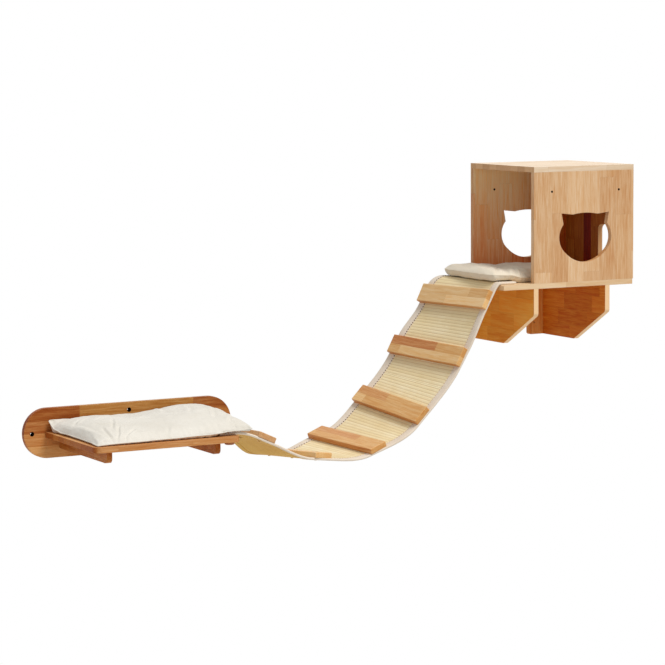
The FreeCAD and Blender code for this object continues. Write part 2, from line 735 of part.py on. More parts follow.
node("base_board", cut("base_board_solid", base_board,
                       [base_screw_holes, deck_screw_holes] + house_anchor_holes))
node("front_panel", cut("front_panel_solid", front_panel,
                        [front_head, top_dowel_holes, front_dowel_holes, base_screw_holes] + front_holes))
node("back_panel", cut("back_panel_solid", back_panel,
                       [back_head, top_dowel_holes, back_dowel_holes, base_screw_holes] + back_holes))
node("side_panel", cut("side_panel_solid", side_panel, [door, back_dowel_holes, front_dowel_holes]))
node("top_panel", cut("top_panel_solid", top_panel, [top_dowel_holes]))
node("top_dowels", top_dowels)
node("side_dowels", side_dowels)
node("base_screws", base_screws)
for side in ("left", "right"):
    node("bracket_plate_" + side, cut("plate_solid_" + side, plates[side], [bracket_screw_holes]))
    node("bracket_fin_" + side, cut("fin_solid_" + side, fins[side],
                                    [bracket_screw_holes, deck_screw_holes]))
node("bracket_screws", bracket_screws)
node("deck_screws", deck_screws)
node("house_anchor_screws", together("house_anchor_screw_group", anchor_screws))
node("house_anchor_washers", together("house_anchor_washer_group", anchor_washers["house"]))

# The belt's layers. Canvas lies underneath over the full width, the sisal lies on it between the
# bindings, and each binding is a folded strip that wraps the long edge.
THICK = size("belt_thick")
FOLD = size("binding_thick")
HEM = size("binding_width")
GAP = size("layer_gap")
CANVAS_LOW = THICK - FOLD - GAP
CANVAS_HIGH = CANVAS_LOW - size("canvas_thick")
SISAL_HIGH = FOLD + GAP
SISAL_LOW = CANVAS_HIGH - GAP

MAT_START = FOLD + GAP
MAT_END = BELT_WIDE - FOLD - GAP

canvas = belt_layer(((MAT_START, CANVAS_HIGH), (MAT_END, CANVAS_HIGH),
                     (MAT_END, CANVAS_LOW), (MAT_START, CANVAS_LOW)))
sisal = belt_layer(((MAT_START, SISAL_HIGH), (MAT_END, SISAL_HIGH),
                    (MAT_END, SISAL_LOW), (MAT_START, SISAL_LOW)))
front_binding = belt_layer(((0, 0), (HEM, 0), (HEM, FOLD), (FOLD, FOLD), (FOLD, THICK - FOLD),
                            (HEM, THICK - FOLD), (HEM, THICK), (0, THICK)))
back_binding = belt_layer(((BELT_WIDE, 0), (BELT_WIDE - HEM, 0),
                           (BELT_WIDE - HEM, FOLD), (BELT_WIDE - FOLD, FOLD),
                           (BELT_WIDE - FOLD, THICK - FOLD), (BELT_WIDE - HEM, THICK - FOLD),
                           (BELT_WIDE - HEM, THICK), (BELT_WIDE, THICK)))

# Treads: a board across the belt with eased edges, held by three screws from below.
TREAD_LONG = BELT_WIDE + 2 * size("tread_overhang")
TREAD_SCREW_PLACES = (-1, 0, 1)


def tread_frame(front, back, way):
    """The tread's axes: along its length, across it and up off the belt."""
    along = (back - front).normalize()
    up = way.cross(along).normalize()
    if up.z < 0:
        up = up * -1
    across = along.cross(up).normalize()
    middle = (front + back) / 2
    turn = FreeCAD.Rotation(along, across, up, "ZXY")
    return FreeCAD.Placement(middle, turn)


belt_tread_holes = []
treads = []
for count, (front, back, way) in enumerate(TREAD_FRAMES, 1):
    name = "tread_%d" % count
    place = tread_frame(front, back, way)
    blank = doc.addObject("Part::Box", name + "_blank")
    bind(blank, Length=TREAD_LONG_F, Width="tread_width", Height="board")
    bind(blank, Placement__Base__x="- " + TREAD_LONG_F + " / 2", Placement__Base__y="- tread_width / 2")
    eased = rounded(name + "_eased", blank, "tread_round", lambda middle, way: middle.z > PICK)
    screws = []
    washers = []
    pilot_holes = []
    for spot in TREAD_SCREW_PLACES:
        tag = "%s_%d" % (name, spot + 1)
        x = "%d * ( %s / 2 - tread_screw_inset )" % (spot, TREAD_LONG_F)
        seat = "- belt_thick + binding_thick"
        head = seat + " - washer_thick"
        ring = rod(tag + "_ring", "washer_radius", "washer_thick", (x, "0", seat), "-z")
        bore = rod(tag + "_bore", "screw_radius + fit_gap", "washer_thick + 2 * overrun",
                   (x, "0", seat + " + overrun"), "-z")
        washers.append(cut(tag + "_washer", ring, [bore]))
        screws.append(joined(tag + "_screw", [
            rod(tag + "_shank", "screw_radius", "screw_length", (x, "0", head), "+z"),
            rod(tag + "_head", "screw_head_radius", "screw_head_height", (x, "0", head), "-z")]))
        bite = "screw_length - belt_thick + binding_thick - washer_thick"
        pilot_holes.append(rod(tag + "_pilot", "screw_radius + fit_gap",
                               bite + " + fit_gap + overrun", (x, "0", "- overrun"), "+z"))
        hole = Part.makeCylinder(size("belt_hole_radius"), THICK + size("overrun"),
                                 V(spot * (TREAD_LONG / 2 - size("tread_screw_inset")), 0,
                                   -THICK - size("overrun") / 2))
        hole.Placement = place.multiply(hole.Placement)
        belt_tread_holes.append(hole)
    board = cut(name + "_board", eased, pilot_holes)
    board_group = together(name + "_placed", [board])
    screw_set = together(name + "_screw_set", screws)
    washer_set = together(name + "_washer_set", washers)
    for item in (board_group, screw_set, washer_set):
        item.Placement = place
    treads.append((name, board_group, screw_set, washer_set))

doc.recompute()
anchor_hole_shapes = [item.Shape for item in belt_anchor_holes]
holes = Part.makeCompound(belt_tread_holes + anchor_hole_shapes)
node("bridge_canvas", solid("bridge_canvas_solid", canvas.cut(holes)))
node("sisal_mat", solid("sisal_mat_solid", sisal.cut(holes)))
node("front_binding", solid("front_binding_solid", front_binding.cut(holes)))
node("back_binding", solid("back_binding_solid", back_binding.cut(holes)))
for name, board_group, screw_set, washer_set in treads:
    node(name, board_group)
    node(name + "_screws", screw_set)
    node(name + "_washers", washer_set)

# Cushions: lofts through upright slices that run from the wall to the front. Each slice has a
# stepped underside, where the belt's end lies under the cushion, two round sides and a crown.
SLICE_SHARES = (0, 0.035, 0.14, 0.32, 0.5, 0.68, 0.86, 0.965, 1)
SLICE_CROWN_SHARES = (0.2, 0.5, 0.8, 1, 1, 0.8, 0.5, 0.2, 0.1)
SHELF_HEIGHT_SHARES = (0.2, 0.45, 0.72, 0.92, 1, 0.98, 0.94, 0.86, 0.72)
HOUSE_HEIGHT_SHARES = (0.5, 0.8, 0.94, 1, 1, 0.97, 0.9, 0.78, 0.5)
SLICE_DRAW_SHARES = (0.6, 0.1, 0, 0.6, 1, 0.6, 0, 0.1, 0.6)
SIDE_BULGE_SHARE = 0.4


def slice_wire(y, lows, steps, start, end, edges, crown):
    """One upright slice from start to end, whose underside steps from one low to the other."""
    start_bulge = edges[0] * SIDE_BULGE_SHARE
    end_bulge = edges[1] * SIDE_BULGE_SHARE
    a = V(start + start_bulge, y, lows[0])
    b = V(steps[0], y, lows[0])
    c = V(steps[1], y, lows[1])
    d = V(end - end_bulge, y, lows[1])
    e = V(end - end_bulge, y, lows[1] + edges[1])
    f = V(start + start_bulge, y, lows[0] + edges[0])
    top = V((start + end) / 2, y, (e.z + f.z) / 2 + crown)
    return Part.Wire([
        Part.LineSegment(a, b).toShape(),
        Part.LineSegment(b, c).toShape(),
        Part.LineSegment(c, d).toShape(),
        Part.Arc(d, V(end, y, lows[1] + edges[1] / 2), e).toShape(),
        Part.Arc(e, top, f).toShape(),
        Part.Arc(f, V(start, y, lows[0] + edges[0] / 2), a).toShape(),
    ])


def cushion(front, back, lows, steps, ends, draw, edges, crown, heights):
    """A cushion from its slices. Lows, steps, ends and edges give the left and the right side."""
    wires = []
    for share, height, arch, pull in zip(SLICE_SHARES, heights, SLICE_CROWN_SHARES, SLICE_DRAW_SHARES):
        y = front + share * (back - front)
        start = ends[0] + pull * draw
        end = ends[1] - pull * draw
        wires.append(slice_wire(y, lows, steps, start, end,
                                (edges[0] * height, edges[1] * height), crown * arch))
    return Part.makeLoft(wires, True, False)


HEAD_TALL = size("anchor_head_height")
shelf_low = size("shelf_top") + size("soft_gap")
shelf_high = size("shelf_top") + THICK + HEAD_TALL + size("soft_gap")
shelf_step = SHELF_END - size("belt_lap_shelf") - size("soft_gap")
shelf_side = (size("shelf_start") + size("shelf_cushion_inset"), SHELF_END + size("shelf_cushion_lap"))
node("shelf_cushion", solid("shelf_cushion_solid", cushion(
    SHELF_FRONT + size("shelf_cushion_inset"), -BOARD - size("shelf_cushion_inset"),
    (shelf_low, shelf_high), (shelf_step - size("cushion_ramp"), shelf_step),
    shelf_side, size("shelf_cushion_draw"),
    (size("shelf_cushion_edge_left"), size("shelf_cushion_edge_right")),
    size("shelf_cushion_crown"), SHELF_HEIGHT_SHARES)))

house_low = BASE_TOP + size("soft_gap")
house_high = BASE_TOP + THICK + HEAD_TALL + size("soft_gap")
house_step = (BASE_START + size("base_nose") + size("base_lip") + size("belt_lap_house")
              + size("soft_gap"))
node("house_cushion", solid("house_cushion_solid", cushion(
    HOUSE_FRONT + BOARD + size("house_cushion_wall_gap"), -BOARD - size("house_cushion_wall_gap"),
    (house_high, house_low), (house_step, house_step + size("cushion_ramp")),
    (HOUSE_START - size("house_cushion_reach"), HOUSE_START + size("house_cushion_end")),
    size("house_cushion_draw"),
    (size("house_cushion_edge_left"), size("house_cushion_edge_right")),
    size("house_cushion_crown"), HOUSE_HEIGHT_SHARES)))

doc.recompute()
for item in doc.Objects:
    if "Invalid" in item.State or "Error" in item.State:
        raise RuntimeError("%s failed to build" % item.Label)
for item in NODES:
    if item.Shape.isNull() or not item.Shape.isValid():
        raise RuntimeError("%s has no valid shape" % item.Label)

os.makedirs("parts", exist_ok=True)
for item in NODES:
    item.Shape.exportStep("parts/%s.step" % item.Label)
print("%d nodes" % len(NODES))
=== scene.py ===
import json
import math
import bmesh
import bpy
from mathutils import Matrix, Vector, noise
from mathutils.bvhtree import BVHTree


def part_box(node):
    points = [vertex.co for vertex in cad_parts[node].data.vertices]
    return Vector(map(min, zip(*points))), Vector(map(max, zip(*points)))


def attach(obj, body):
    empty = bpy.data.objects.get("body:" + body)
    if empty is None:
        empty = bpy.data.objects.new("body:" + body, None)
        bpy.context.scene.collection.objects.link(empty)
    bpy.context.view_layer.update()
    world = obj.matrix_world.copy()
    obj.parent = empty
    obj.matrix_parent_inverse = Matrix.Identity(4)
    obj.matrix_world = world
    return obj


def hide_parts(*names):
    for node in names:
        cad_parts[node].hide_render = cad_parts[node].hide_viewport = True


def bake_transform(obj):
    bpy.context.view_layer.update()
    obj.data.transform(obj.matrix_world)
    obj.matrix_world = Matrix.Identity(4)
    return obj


# Cat wall bridge. Metres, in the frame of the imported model: X runs along the wall to the right, Z up,
# the wall is the plane Y = 0 and the origin is the shelf's left wall hole.
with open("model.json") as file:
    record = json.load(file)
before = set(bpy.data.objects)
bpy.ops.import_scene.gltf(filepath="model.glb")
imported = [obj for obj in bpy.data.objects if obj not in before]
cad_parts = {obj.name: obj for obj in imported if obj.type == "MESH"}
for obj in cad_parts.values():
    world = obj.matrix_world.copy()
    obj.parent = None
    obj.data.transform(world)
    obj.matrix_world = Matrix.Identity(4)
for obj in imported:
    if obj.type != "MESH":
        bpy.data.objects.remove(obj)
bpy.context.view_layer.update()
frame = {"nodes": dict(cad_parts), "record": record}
nodes = frame["nodes"]
scene = bpy.context.scene
X_WAY, Y_WAY, Z_WAY = (1, 0, 0), (0, 1, 0), (0, 0, 1)
FRONT_FACE, LEFT_FACE = (0, -1, 0), (-1, 0, 0)


def linear(colour):
    """An sRGB colour from 0 to 255 as linear values."""
    shares = [part / 255 for part in colour]
    return tuple(c / 12.92 if c <= 0.04045 else ((c + 0.055) / 1.055) ** 2.4 for c in shares)


def fuzz(x, y, z):
    """Smooth noise at a place."""
    return noise.noise(Vector((x, y, z)))


class Graph:
    """Short names for adding and linking nodes. Each value is a number, a colour or another's output."""

    def __init__(self, tree):
        self.tree = tree

    def put(self, value, socket):
        if hasattr(value, "links"):
            self.tree.links.new(value, socket)
        else:
            socket.default_value = value

    def fill(self, item, values):
        for key, value in values.items():
            self.put(value, item.inputs[key])

    def add(self, kind, values=(), **settings):
        item = self.tree.nodes.new(kind)
        for key, value in settings.items():
            setattr(item, key, value)
        self.fill(item, dict(values))
        return item

    def math(self, operation, first, second=0.0):
        return self.add("ShaderNodeMath", {0: first, 1: second}, operation=operation).outputs[0]

    def times(self, first, second):
        return self.math("MULTIPLY", first, second)

    def plus(self, total, *terms):
        for term in terms:
            total = self.math("ADD", total, term)
        return total

    def vector(self, operation, first, second):
        return self.add("ShaderNodeVectorMath", {0: first, 1: second}, operation=operation).outputs[0]

    def scaled(self, vector, size):
        return self.add("ShaderNodeVectorMath", {0: vector, "Scale": size}, operation="SCALE").outputs[0]

    def measure(self, operation, first, second):
        item = self.add("ShaderNodeVectorMath", {0: first, 1: second}, operation=operation)
        return item.outputs["Value"]

    def dot(self, first, second):
        return self.measure("DOT_PRODUCT", first, second)

    def join(self, x, y, z):
        return self.add("ShaderNodeCombineXYZ", {0: x, 1: y, 2: z}).outputs[0]

    def place(self):
        return self.add("ShaderNodeTexCoord").outputs["Object"]

    def noise(self, vector, scale, detail=3.0, rough=0.5, distortion=0.0):
        values = {"Vector": vector, "Scale": scale, "Detail": detail, "Roughness": rough,
                  "Distortion": distortion}
        return self.add("ShaderNodeTexNoise", values).outputs["Fac"]

    def ramp(self, factor, stops, interpolation="LINEAR"):
        item = self.add("ShaderNodeValToRGB", {0: factor})
        ramp = item.color_ramp
        ramp.interpolation = interpolation
        while len(ramp.elements) < len(stops):
            ramp.elements.new(0.5)
        for element, (place, colour) in zip(ramp.elements, stops):
            element.position = place
            element.color = (*linear(colour), 1)
        return item.outputs[0]

    def span(self, value, low, high, out_low=0.0, out_high=1.0):
        values = {"Value": value, "From Min": low, "From Max": high, "To Min": out_low, "To Max": out_high}
        return self.add("ShaderNodeMapRange", values, clamp=True).outputs[0]

    def blend(self, factor, first, second, kind="MIX"):
        first, second = (tone if hasattr(tone, "links") else (*linear(tone), 1) for tone in (first, second))
        item = self.add("ShaderNodeMix", data_type="RGBA", blend_type=kind)
        self.fill(item, {0: factor, 6: first, 7: second})
        return item.outputs[2]

    def gamma(self, colour, power):
        return self.add("ShaderNodeGamma", {0: colour, 1: power}).outputs[0]

    def bump(self, height, strength, distance, **normal):
        values = {"Height": height, "Strength": strength, "Distance": distance}
        return self.add("ShaderNodeBump", {**values, **normal}).outputs[0]


def new_material(name):
    """A material with its graph and its Principled shader, whose output is already linked."""
    material = bpy.data.materials.new(name)
    material.use_nodes = True
    return material, Graph(material.node_tree), material.node_tree.nodes["Principled BSDF"]


def new_object(name, data):
    """An object in the scene."""
    item = bpy.data.objects.new(name, data)
    bpy.context.collection.objects.link(item)
    return item


def smoothed(mesh):
    """Shade all faces of a mesh smooth."""
    mesh.polygons.foreach_set("use_smooth", [True] * len(mesh.polygons))


def new_mesh(name, points, faces):
    """A mesh object from points and faces."""
    mesh = bpy.data.meshes.new(name)
    mesh.from_pydata([tuple(point) for point in points], [], faces)
    mesh.update()
    return new_object(name, mesh)


def frozen(item):
    """A new mesh of what an object's modifiers or curve settings make of it."""
    bpy.context.view_layer.update()
    graph = bpy.context.evaluated_depsgraph_get()
    return bpy.data.meshes.new_from_object(item.evaluated_get(graph))


# Camera, solved from the photograph's straight edges.
CAMERA_PLACE = (-3.128501, -7.924285, 1.213161)
CAMERA_LENS = 144.187
CAMERA_SENSOR = 36
CAMERA_REACH = 60
CAMERA_TURN = (28.099, 6.0262, -0.3775)


def camera_turn(yaw, pitch, roll):
    """The turn of a camera from its degrees to the right, down and round its own axis."""
    yaw, pitch, roll = (math.radians(value) for value in (yaw, pitch, roll))
    ahead = Vector((math.sin(yaw) * math.cos(pitch), math.cos(yaw) * math.cos(pitch), -math.sin(pitch)))
    right = Vector((math.cos(yaw), -math.sin(yaw), 0))
    up = right.cross(ahead)
    side = right * math.cos(roll) + up * math.sin(roll)
    top = up * math.cos(roll) - right * math.sin(roll)
    return Matrix((side, top, -ahead)).transposed()


camera_data = bpy.data.cameras.new("camera")
camera_data.lens = CAMERA_LENS
camera_data.sensor_width = CAMERA_SENSOR
camera_data.clip_end = CAMERA_REACH
camera = new_object("camera", camera_data)
camera.matrix_world = Matrix.Translation(CAMERA_PLACE) @ camera_turn(*CAMERA_TURN).to_4x4()
scene.camera = camera
scene.view_settings.view_transform = "Standard"

# Stage: a pale floor far below the furniture, soft light all round and one broad soft lamp from the
# front, above and a little right, so the faces that look left stay darker, as in the photograph.
FLOOR_Z = -1.4
FLOOR_CORNERS = ((-1.6, -3.0), (3.0, -3.0), (3.0, 0.8), (-1.6, 0.8))
FLOOR_COLOUR = (0.86, 0.85, 0.84, 1)
FLOOR_ROUGH = 0.9
SKY_LIGHT = 0.5
SKY_SEEN = 1.0
LAMP_LIGHT = 2.2
LAMP_SPREAD = 28
LAMP_AIM = (-0.22, 0.5, -0.85)
LAMP_COLOUR = (1.0, 0.985, 0.96)

floor = new_mesh("floor", [(x, y, FLOOR_Z) for x, y in FLOOR_CORNERS], [(0, 1, 2, 3)])
floor_material, floor_graph, floor_shader = new_material("floor")
floor_graph.fill(floor_shader, {"Base Color": FLOOR_COLOUR, "Roughness": FLOOR_ROUGH})
floor.data.materials.append(floor_material)

lamp_data = bpy.data.lights.new("lamp", "SUN")
lamp_data.energy = LAMP_LIGHT
lamp_data.angle = math.radians(LAMP_SPREAD)
lamp_data.color = LAMP_COLOUR
lamp = new_object("lamp", lamp_data)
lamp.rotation_euler = Vector(LAMP_AIM).to_track_quat("-Z", "Y").to_euler()

# The sky lights the object softly, and what sees it directly sees it white.
world = bpy.data.worlds.new("world")
world.use_nodes = True
world.node_tree.nodes.clear()
scene.world = world
sky = Graph(world.node_tree)
rays = sky.add("ShaderNodeLightPath").outputs
direct = sky.math("MAXIMUM", rays["Is Camera Ray"], rays["Is Glossy Ray"])
direct = sky.math("MAXIMUM", direct, rays["Is Transmission Ray"])
lit, seen = (sky.add("ShaderNodeBackground", {"Color": (1, 1, 1, 1), "Strength": strength}).outputs[0]
             for strength in (SKY_LIGHT, SKY_SEEN))
sky_mix = sky.add("ShaderNodeMixShader", {0: direct, 1: lit, 2: seen})
sky.add("ShaderNodeOutputWorld", {"Surface": sky_mix.outputs[0]})

# Block-glued wood. The boards are sawn from glued strips, each made of short blocks that meet in
# fingers. The grain is streaks, hairs and pores, each with its size along and across, its noise's
# detail, roughness and distortion, the values between which it shows, and how much it darkens.
GRAIN = (
    ((0.16, 0.010), (3.0, 0.55, 0.8), (0.42, 0.68), 0.26),
    ((0.05, 0.0022), (4.0, 0.65, 0.3), (0.35, 0.75), 0.42),
    ((0.006, 0.0006), (1.0, 0.5), (0.66, 0.74), 0.22),
)
PLAIN_DEPTH = 0.82
FINGER_PITCH = 0.007
FINGER_REACH = 0.0035
JOINT_HALF = 0.00035
EDGE_ROUND = 0.0016
FACE_ON = (0.6, 0.9)
HOLE_RIM = (0.0002, 0.0008)
# The colour of the painted shade in the drilled holes.
HOLE_SHADE_TONE = (24, 10, 5)
JOINT_TONE = (110, 62, 30)
WORN_TONE = (242, 214, 176)


def wood_look(graph, shader, along, spot, tone, cell, joint, grain=1.0, rough=0.42, holes=(), ends=0.5,
              end_tone=None, shades=(), satin=False):
    """Grain, pores, joints, end grain, eased edges, drilled holes with painted shade in them, and painted
    shade on chosen faces, over the blocks' tones.

    Ends is how much darker end grain is, end_tone a tone of its own for it, and satin a thin oil finish
    that hardly shines. Each of shades is painted shade: a direction, the colour that darkens the
    faces that look that way, and the way and the places between which the painted shade sets in."""
    spread = graph.scaled(cell, 9.0)
    layers = []
    for (length, width), texture, shown, _ in GRAIN:
        parts = (graph.times(part, 1 / pitch) for part, pitch in zip(spot, (length, width, width)))
        fibres = graph.noise(graph.vector("ADD", graph.join(*parts), spread), 1.0, *texture)
        layers.append(graph.span(fibres, *shown))
    _, hair, pore = layers
    flat = graph.add("ShaderNodeNewGeometry").outputs["True Normal"]
    facing = graph.math("ABSOLUTE", graph.dot(flat, along))
    depth = graph.plus(*(graph.times(layer, row[3] * grain) for layer, row in zip(layers, GRAIN)),
                       graph.times(graph.span(facing, *FACE_ON), ends), PLAIN_DEPTH)
    # Painted shade: faces that look one way are darkened by a colour, only between the given places.
    for face, shade_tint, way, *runs in shades:
        shade_mask = graph.span(graph.dot(flat, face), *FACE_ON)
        for run in runs:
            shade_mask = graph.times(shade_mask, graph.span(graph.dot(graph.place(), way), *run))
        tone = graph.blend(shade_mask, tone, shade_tint, "MULTIPLY")
    colour = graph.blend(graph.times(joint, 0.16), graph.gamma(tone, depth), JOINT_TONE)
    if end_tone:
        pale = graph.gamma((*linear(end_tone), 1), graph.plus(graph.times(hair, 0.4), 0.85))
        colour = graph.blend(graph.span(facing, 0.3, 0.5), colour, pale)

    bevel = graph.add("ShaderNodeBevel", {"Radius": EDGE_ROUND}, samples=4).outputs[0]
    edge = graph.span(graph.dot(bevel, flat), 0.97, 0.80)
    colour = graph.blend(graph.times(edge, 0.22), colour, WORN_TONE)
    place = graph.place()
    bored = 0.0
    # Each hole is painted dark as painted shade. Its normal is turned to face the front and its roughness
    # raised.
    for hole_x, hole_z, radius in holes:
        apart = graph.measure("DISTANCE", graph.vector("MULTIPLY", place, (1, 0, 1)), (hole_x, 0, hole_z))
        hole_shade = graph.span(apart, radius + HOLE_RIM[0], radius + HOLE_RIM[1], 1.0, 0.0)
        colour = graph.blend(hole_shade, colour, HOLE_SHADE_TONE)
        bored = graph.math("MAXIMUM", bored, hole_shade)

    height = graph.math("SUBTRACT", graph.times(hair, -0.4), graph.times(pore, 0.6))
    normal = graph.bump(graph.math("SUBTRACT", height, joint), 0.35, 0.00035, Normal=bevel)
    if holes:
        kept = graph.scaled(normal, graph.math("SUBTRACT", 1.0, bored))
        normal = graph.vector("ADD", kept, graph.join(0.0, graph.times(bored, -1.0), 0.0))
    dull = graph.math("MAXIMUM", graph.plus(graph.times(hair, 0.16), rough), bored)
    graph.fill(shader, {"Base Color": colour, "Normal": normal, "Roughness": dull, "Coat Roughness": 0.35,
                        "Specular IOR Level": 0.12 if satin else 0.35, "Coat Weight": 0.0 if satin else 0.08})


def grain_spot(graph, along, across):
    """Places along the grain, across it and through the board."""
    place = graph.place()
    through = Vector(along).cross(Vector(across))
    return [graph.dot(place, way) for way in (along, across, through)]


def fingered(graph, u, v):
    """Places along the grain, shifted to and fro so that blocks meet in fingers."""
    finger = graph.math("PINGPONG", graph.plus(v, 1.0), FINGER_PITCH / 2)
    return graph.plus(u, graph.times(finger, 2 * FINGER_REACH / FINGER_PITCH))


def glue_line(graph, gap, size):
    """1 on a joint and 0 off it, where the gap is a share of a size."""
    return graph.span(gap, JOINT_HALF / size, 2 * JOINT_HALF / size, 1.0, 0.0)


def glued_wood(name, along, across, tones, strip, block, seed, **look):
    """Wood in strips of random blocks. Tones run from the darkest block to the lightest."""
    material, graph, shader = new_material(name)
    spot = grain_spot(graph, along, across)
    rows = graph.plus(graph.times(spot[1], 1 / strip), seed * 0.37)
    run = graph.times(fingered(graph, *spot[:2]), 1 / block)
    run = graph.plus(run, graph.times(graph.math("FLOOR", rows), 7.31), seed * 3.1 + 40)
    cells, edges = (
        graph.add("ShaderNodeTexVoronoi", {"W": run, "Scale": 1.0, "Randomness": 0.75},
                  voronoi_dimensions="1D", feature=feature).outputs for feature in ("F1", "DISTANCE_TO_EDGE"))
    chance = graph.add("ShaderNodeSeparateColor", {0: cells["Color"]}).outputs[0]
    tone = graph.ramp(chance, [(0.08 + 0.84 * count / (len(tones) - 1), tone)
                               for count, tone in enumerate(tones)])
    side = graph.math("FRACT", rows)
    near = graph.math("MINIMUM", side, graph.math("SUBTRACT", 1.0, side))
    joint = graph.math("MAXIMUM", glue_line(graph, edges["Distance"], block), glue_line(graph, near, strip))
    wood_look(graph, shader, along, spot, tone, cells["Color"], joint, **look)
    return material


def laid_wood(name, along, across, start, strip, length, rows, seed, **look):
    """Wood in named blocks. Start is a corner, and each row lists (share of the length, tone)."""
    material, graph, shader = new_material(name)
    spot = grain_spot(graph, along, across)
    from_end = graph.math("SUBTRACT", spot[0], Vector(start).dot(Vector(along)))
    run = graph.times(fingered(graph, from_end, spot[1]), 1 / length)
    row = graph.times(graph.math("SUBTRACT", spot[1], Vector(start).dot(Vector(across))), 1 / strip)
    tone = None
    joint = None
    for count, blocks in enumerate(rows):
        colours = graph.ramp(run, blocks, "CONSTANT")
        lines = 0.0
        for place, _ in blocks[1:]:
            gap = graph.math("ABSOLUTE", graph.math("SUBTRACT", run, place))
            lines = graph.math("MAXIMUM", lines, glue_line(graph, gap, length))
        if tone is None:
            tone, joint = colours, lines
            continue
        here = graph.math("GREATER_THAN", row, float(count))
        tone = graph.blend(here, tone, colours)
        old = graph.times(joint, graph.math("SUBTRACT", 1.0, here))
        gap = graph.math("ABSOLUTE", graph.math("SUBTRACT", row, float(count)))
        joint = graph.math("MAXIMUM", graph.plus(old, graph.times(lines, here)), glue_line(graph, gap, strip))
    cell = graph.vector("ADD", tone, (seed * 1.7, seed * 0.9, seed * 2.3))
    wood_look(graph, shader, along, spot, tone, cell, joint, **look)
    return material


def dress(name, material):
    """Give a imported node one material."""
    slots = nodes[name].data.materials
    slots.clear()
    slots.append(material)


def board(node, *wood, **look):
    """Give a packed board its glued wood: name, grain's way, way across, tones, strip, block and seed."""
    dress(node, glued_wood(*wood, **look))


def pattern_holes(name):
    """The two holes of a panel's bolt pattern in the record, as (x, z, radius)."""
    mount = next(item for item in frame["record"]["mounts"] if item["name"] == name)
    x, _, z = mount["pos_m"]
    half = mount["dims"]["spacing_x_mm"] / 2000
    radius = mount["dims"]["hole_r_mm"] / 1000
    return ((x - half, z, radius), (x + half, z, radius))


# House: front, back and side panels have upright strips, the top and the base board run from left to right.
# The inner faces of the back and side panels carry painted shade, darker deeper in the house. The back
# panel's is also darker towards the bottom, and its left edge face carries painted shade too. The side
# panel's inner face has one darker upright band.
FRONT_TONES = ((216, 173, 128), (223, 184, 141), (230, 193, 151), (219, 177, 132))
BACK_TONES = ((252, 206, 154), (255, 224, 178), (255, 232, 192), (254, 214, 164))
SIDE_TONES = ((206, 158, 110), (222, 180, 134), (214, 168, 120))
TOP_TONES = ((228, 202, 170), (238, 216, 188), (233, 208, 178))
BASE_TONES = ((224, 188, 144), (236, 206, 166), (230, 196, 154))
back_low, back_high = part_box("back_panel")
# Painted shade on the back panel: its front face is darker deeper in the house and towards the bottom, and
# its left edge face is darker.
BACK_PAINTED_SHADES = (
    (FRONT_FACE, (210, 150, 88), X_WAY, (back_low[0] + 0.18, back_high[0] - 0.06)),
    (FRONT_FACE, (240, 199, 177), Z_WAY, (back_high[2] - 0.03, back_low[2] + 0.05)),
    (LEFT_FACE, (204, 179, 151), X_WAY),
)
# Painted shade on the side panel's inner face, and one darker upright band on that face.
SIDE_PAINTED_SHADES = (
    (LEFT_FACE, (191, 138, 71), X_WAY),
    (LEFT_FACE, (191, 95, 66), Y_WAY, (-0.128, -0.132), (-0.178, -0.174)),
)
board("front_panel", "house_front_wood", Z_WAY, X_WAY, FRONT_TONES, 0.064, 0.40, 3, grain=1.4,
      holes=pattern_holes("house_front_holes"))
board("back_panel", "house_back_wood", Z_WAY, X_WAY, BACK_TONES, 0.050, 0.26, 5, grain=1.8,
      holes=pattern_holes("house_back_holes"), shades=BACK_PAINTED_SHADES)
board("side_panel", "house_side_wood", Z_WAY, Y_WAY, SIDE_TONES, 0.042, 0.30, 7, rough=0.6,
      shades=SIDE_PAINTED_SHADES, satin=True)
# The top panel's end grain is darkened strongly: darker end grain, and painted shade for its left end, which
# looks away from the lamp.
board("top_panel", "house_top_wood", X_WAY, Y_WAY, TOP_TONES, 0.045, 0.26, 2, ends=1.35)
board("base_board", "base_wood", X_WAY, Y_WAY, BASE_TONES, 0.045, 0.26, 4, ends=0.3)

# Brackets: the left fin is orange brown and the right one redder and darker, both with level strips
# that run out from the wall.
LEFT_TONES = ((226, 152, 54), (236, 164, 64), (244, 176, 78), (230, 156, 58))
RIGHT_TONES = ((194, 108, 28), (204, 118, 34), (216, 132, 46), (198, 112, 30))
PLATE_TONES = ((206, 132, 62), (222, 150, 78), (214, 140, 70))
EDGE_TONE = (246, 208, 160)
for side, tones, seed in (("left", LEFT_TONES, 6), ("right", RIGHT_TONES, 9)):
    board("bracket_fin_" + side, "bracket_%s_wood" % side, Y_WAY, Z_WAY, tones, 0.056, 0.17, seed, grain=1.1,
          rough=0.55, ends=0.0, end_tone=EDGE_TONE, satin=True)
    board("bracket_plate_" + side, "plate_%s_wood" % side, Z_WAY, X_WAY, PLATE_TONES, 0.044, 0.19, seed + 2,
          satin=True)

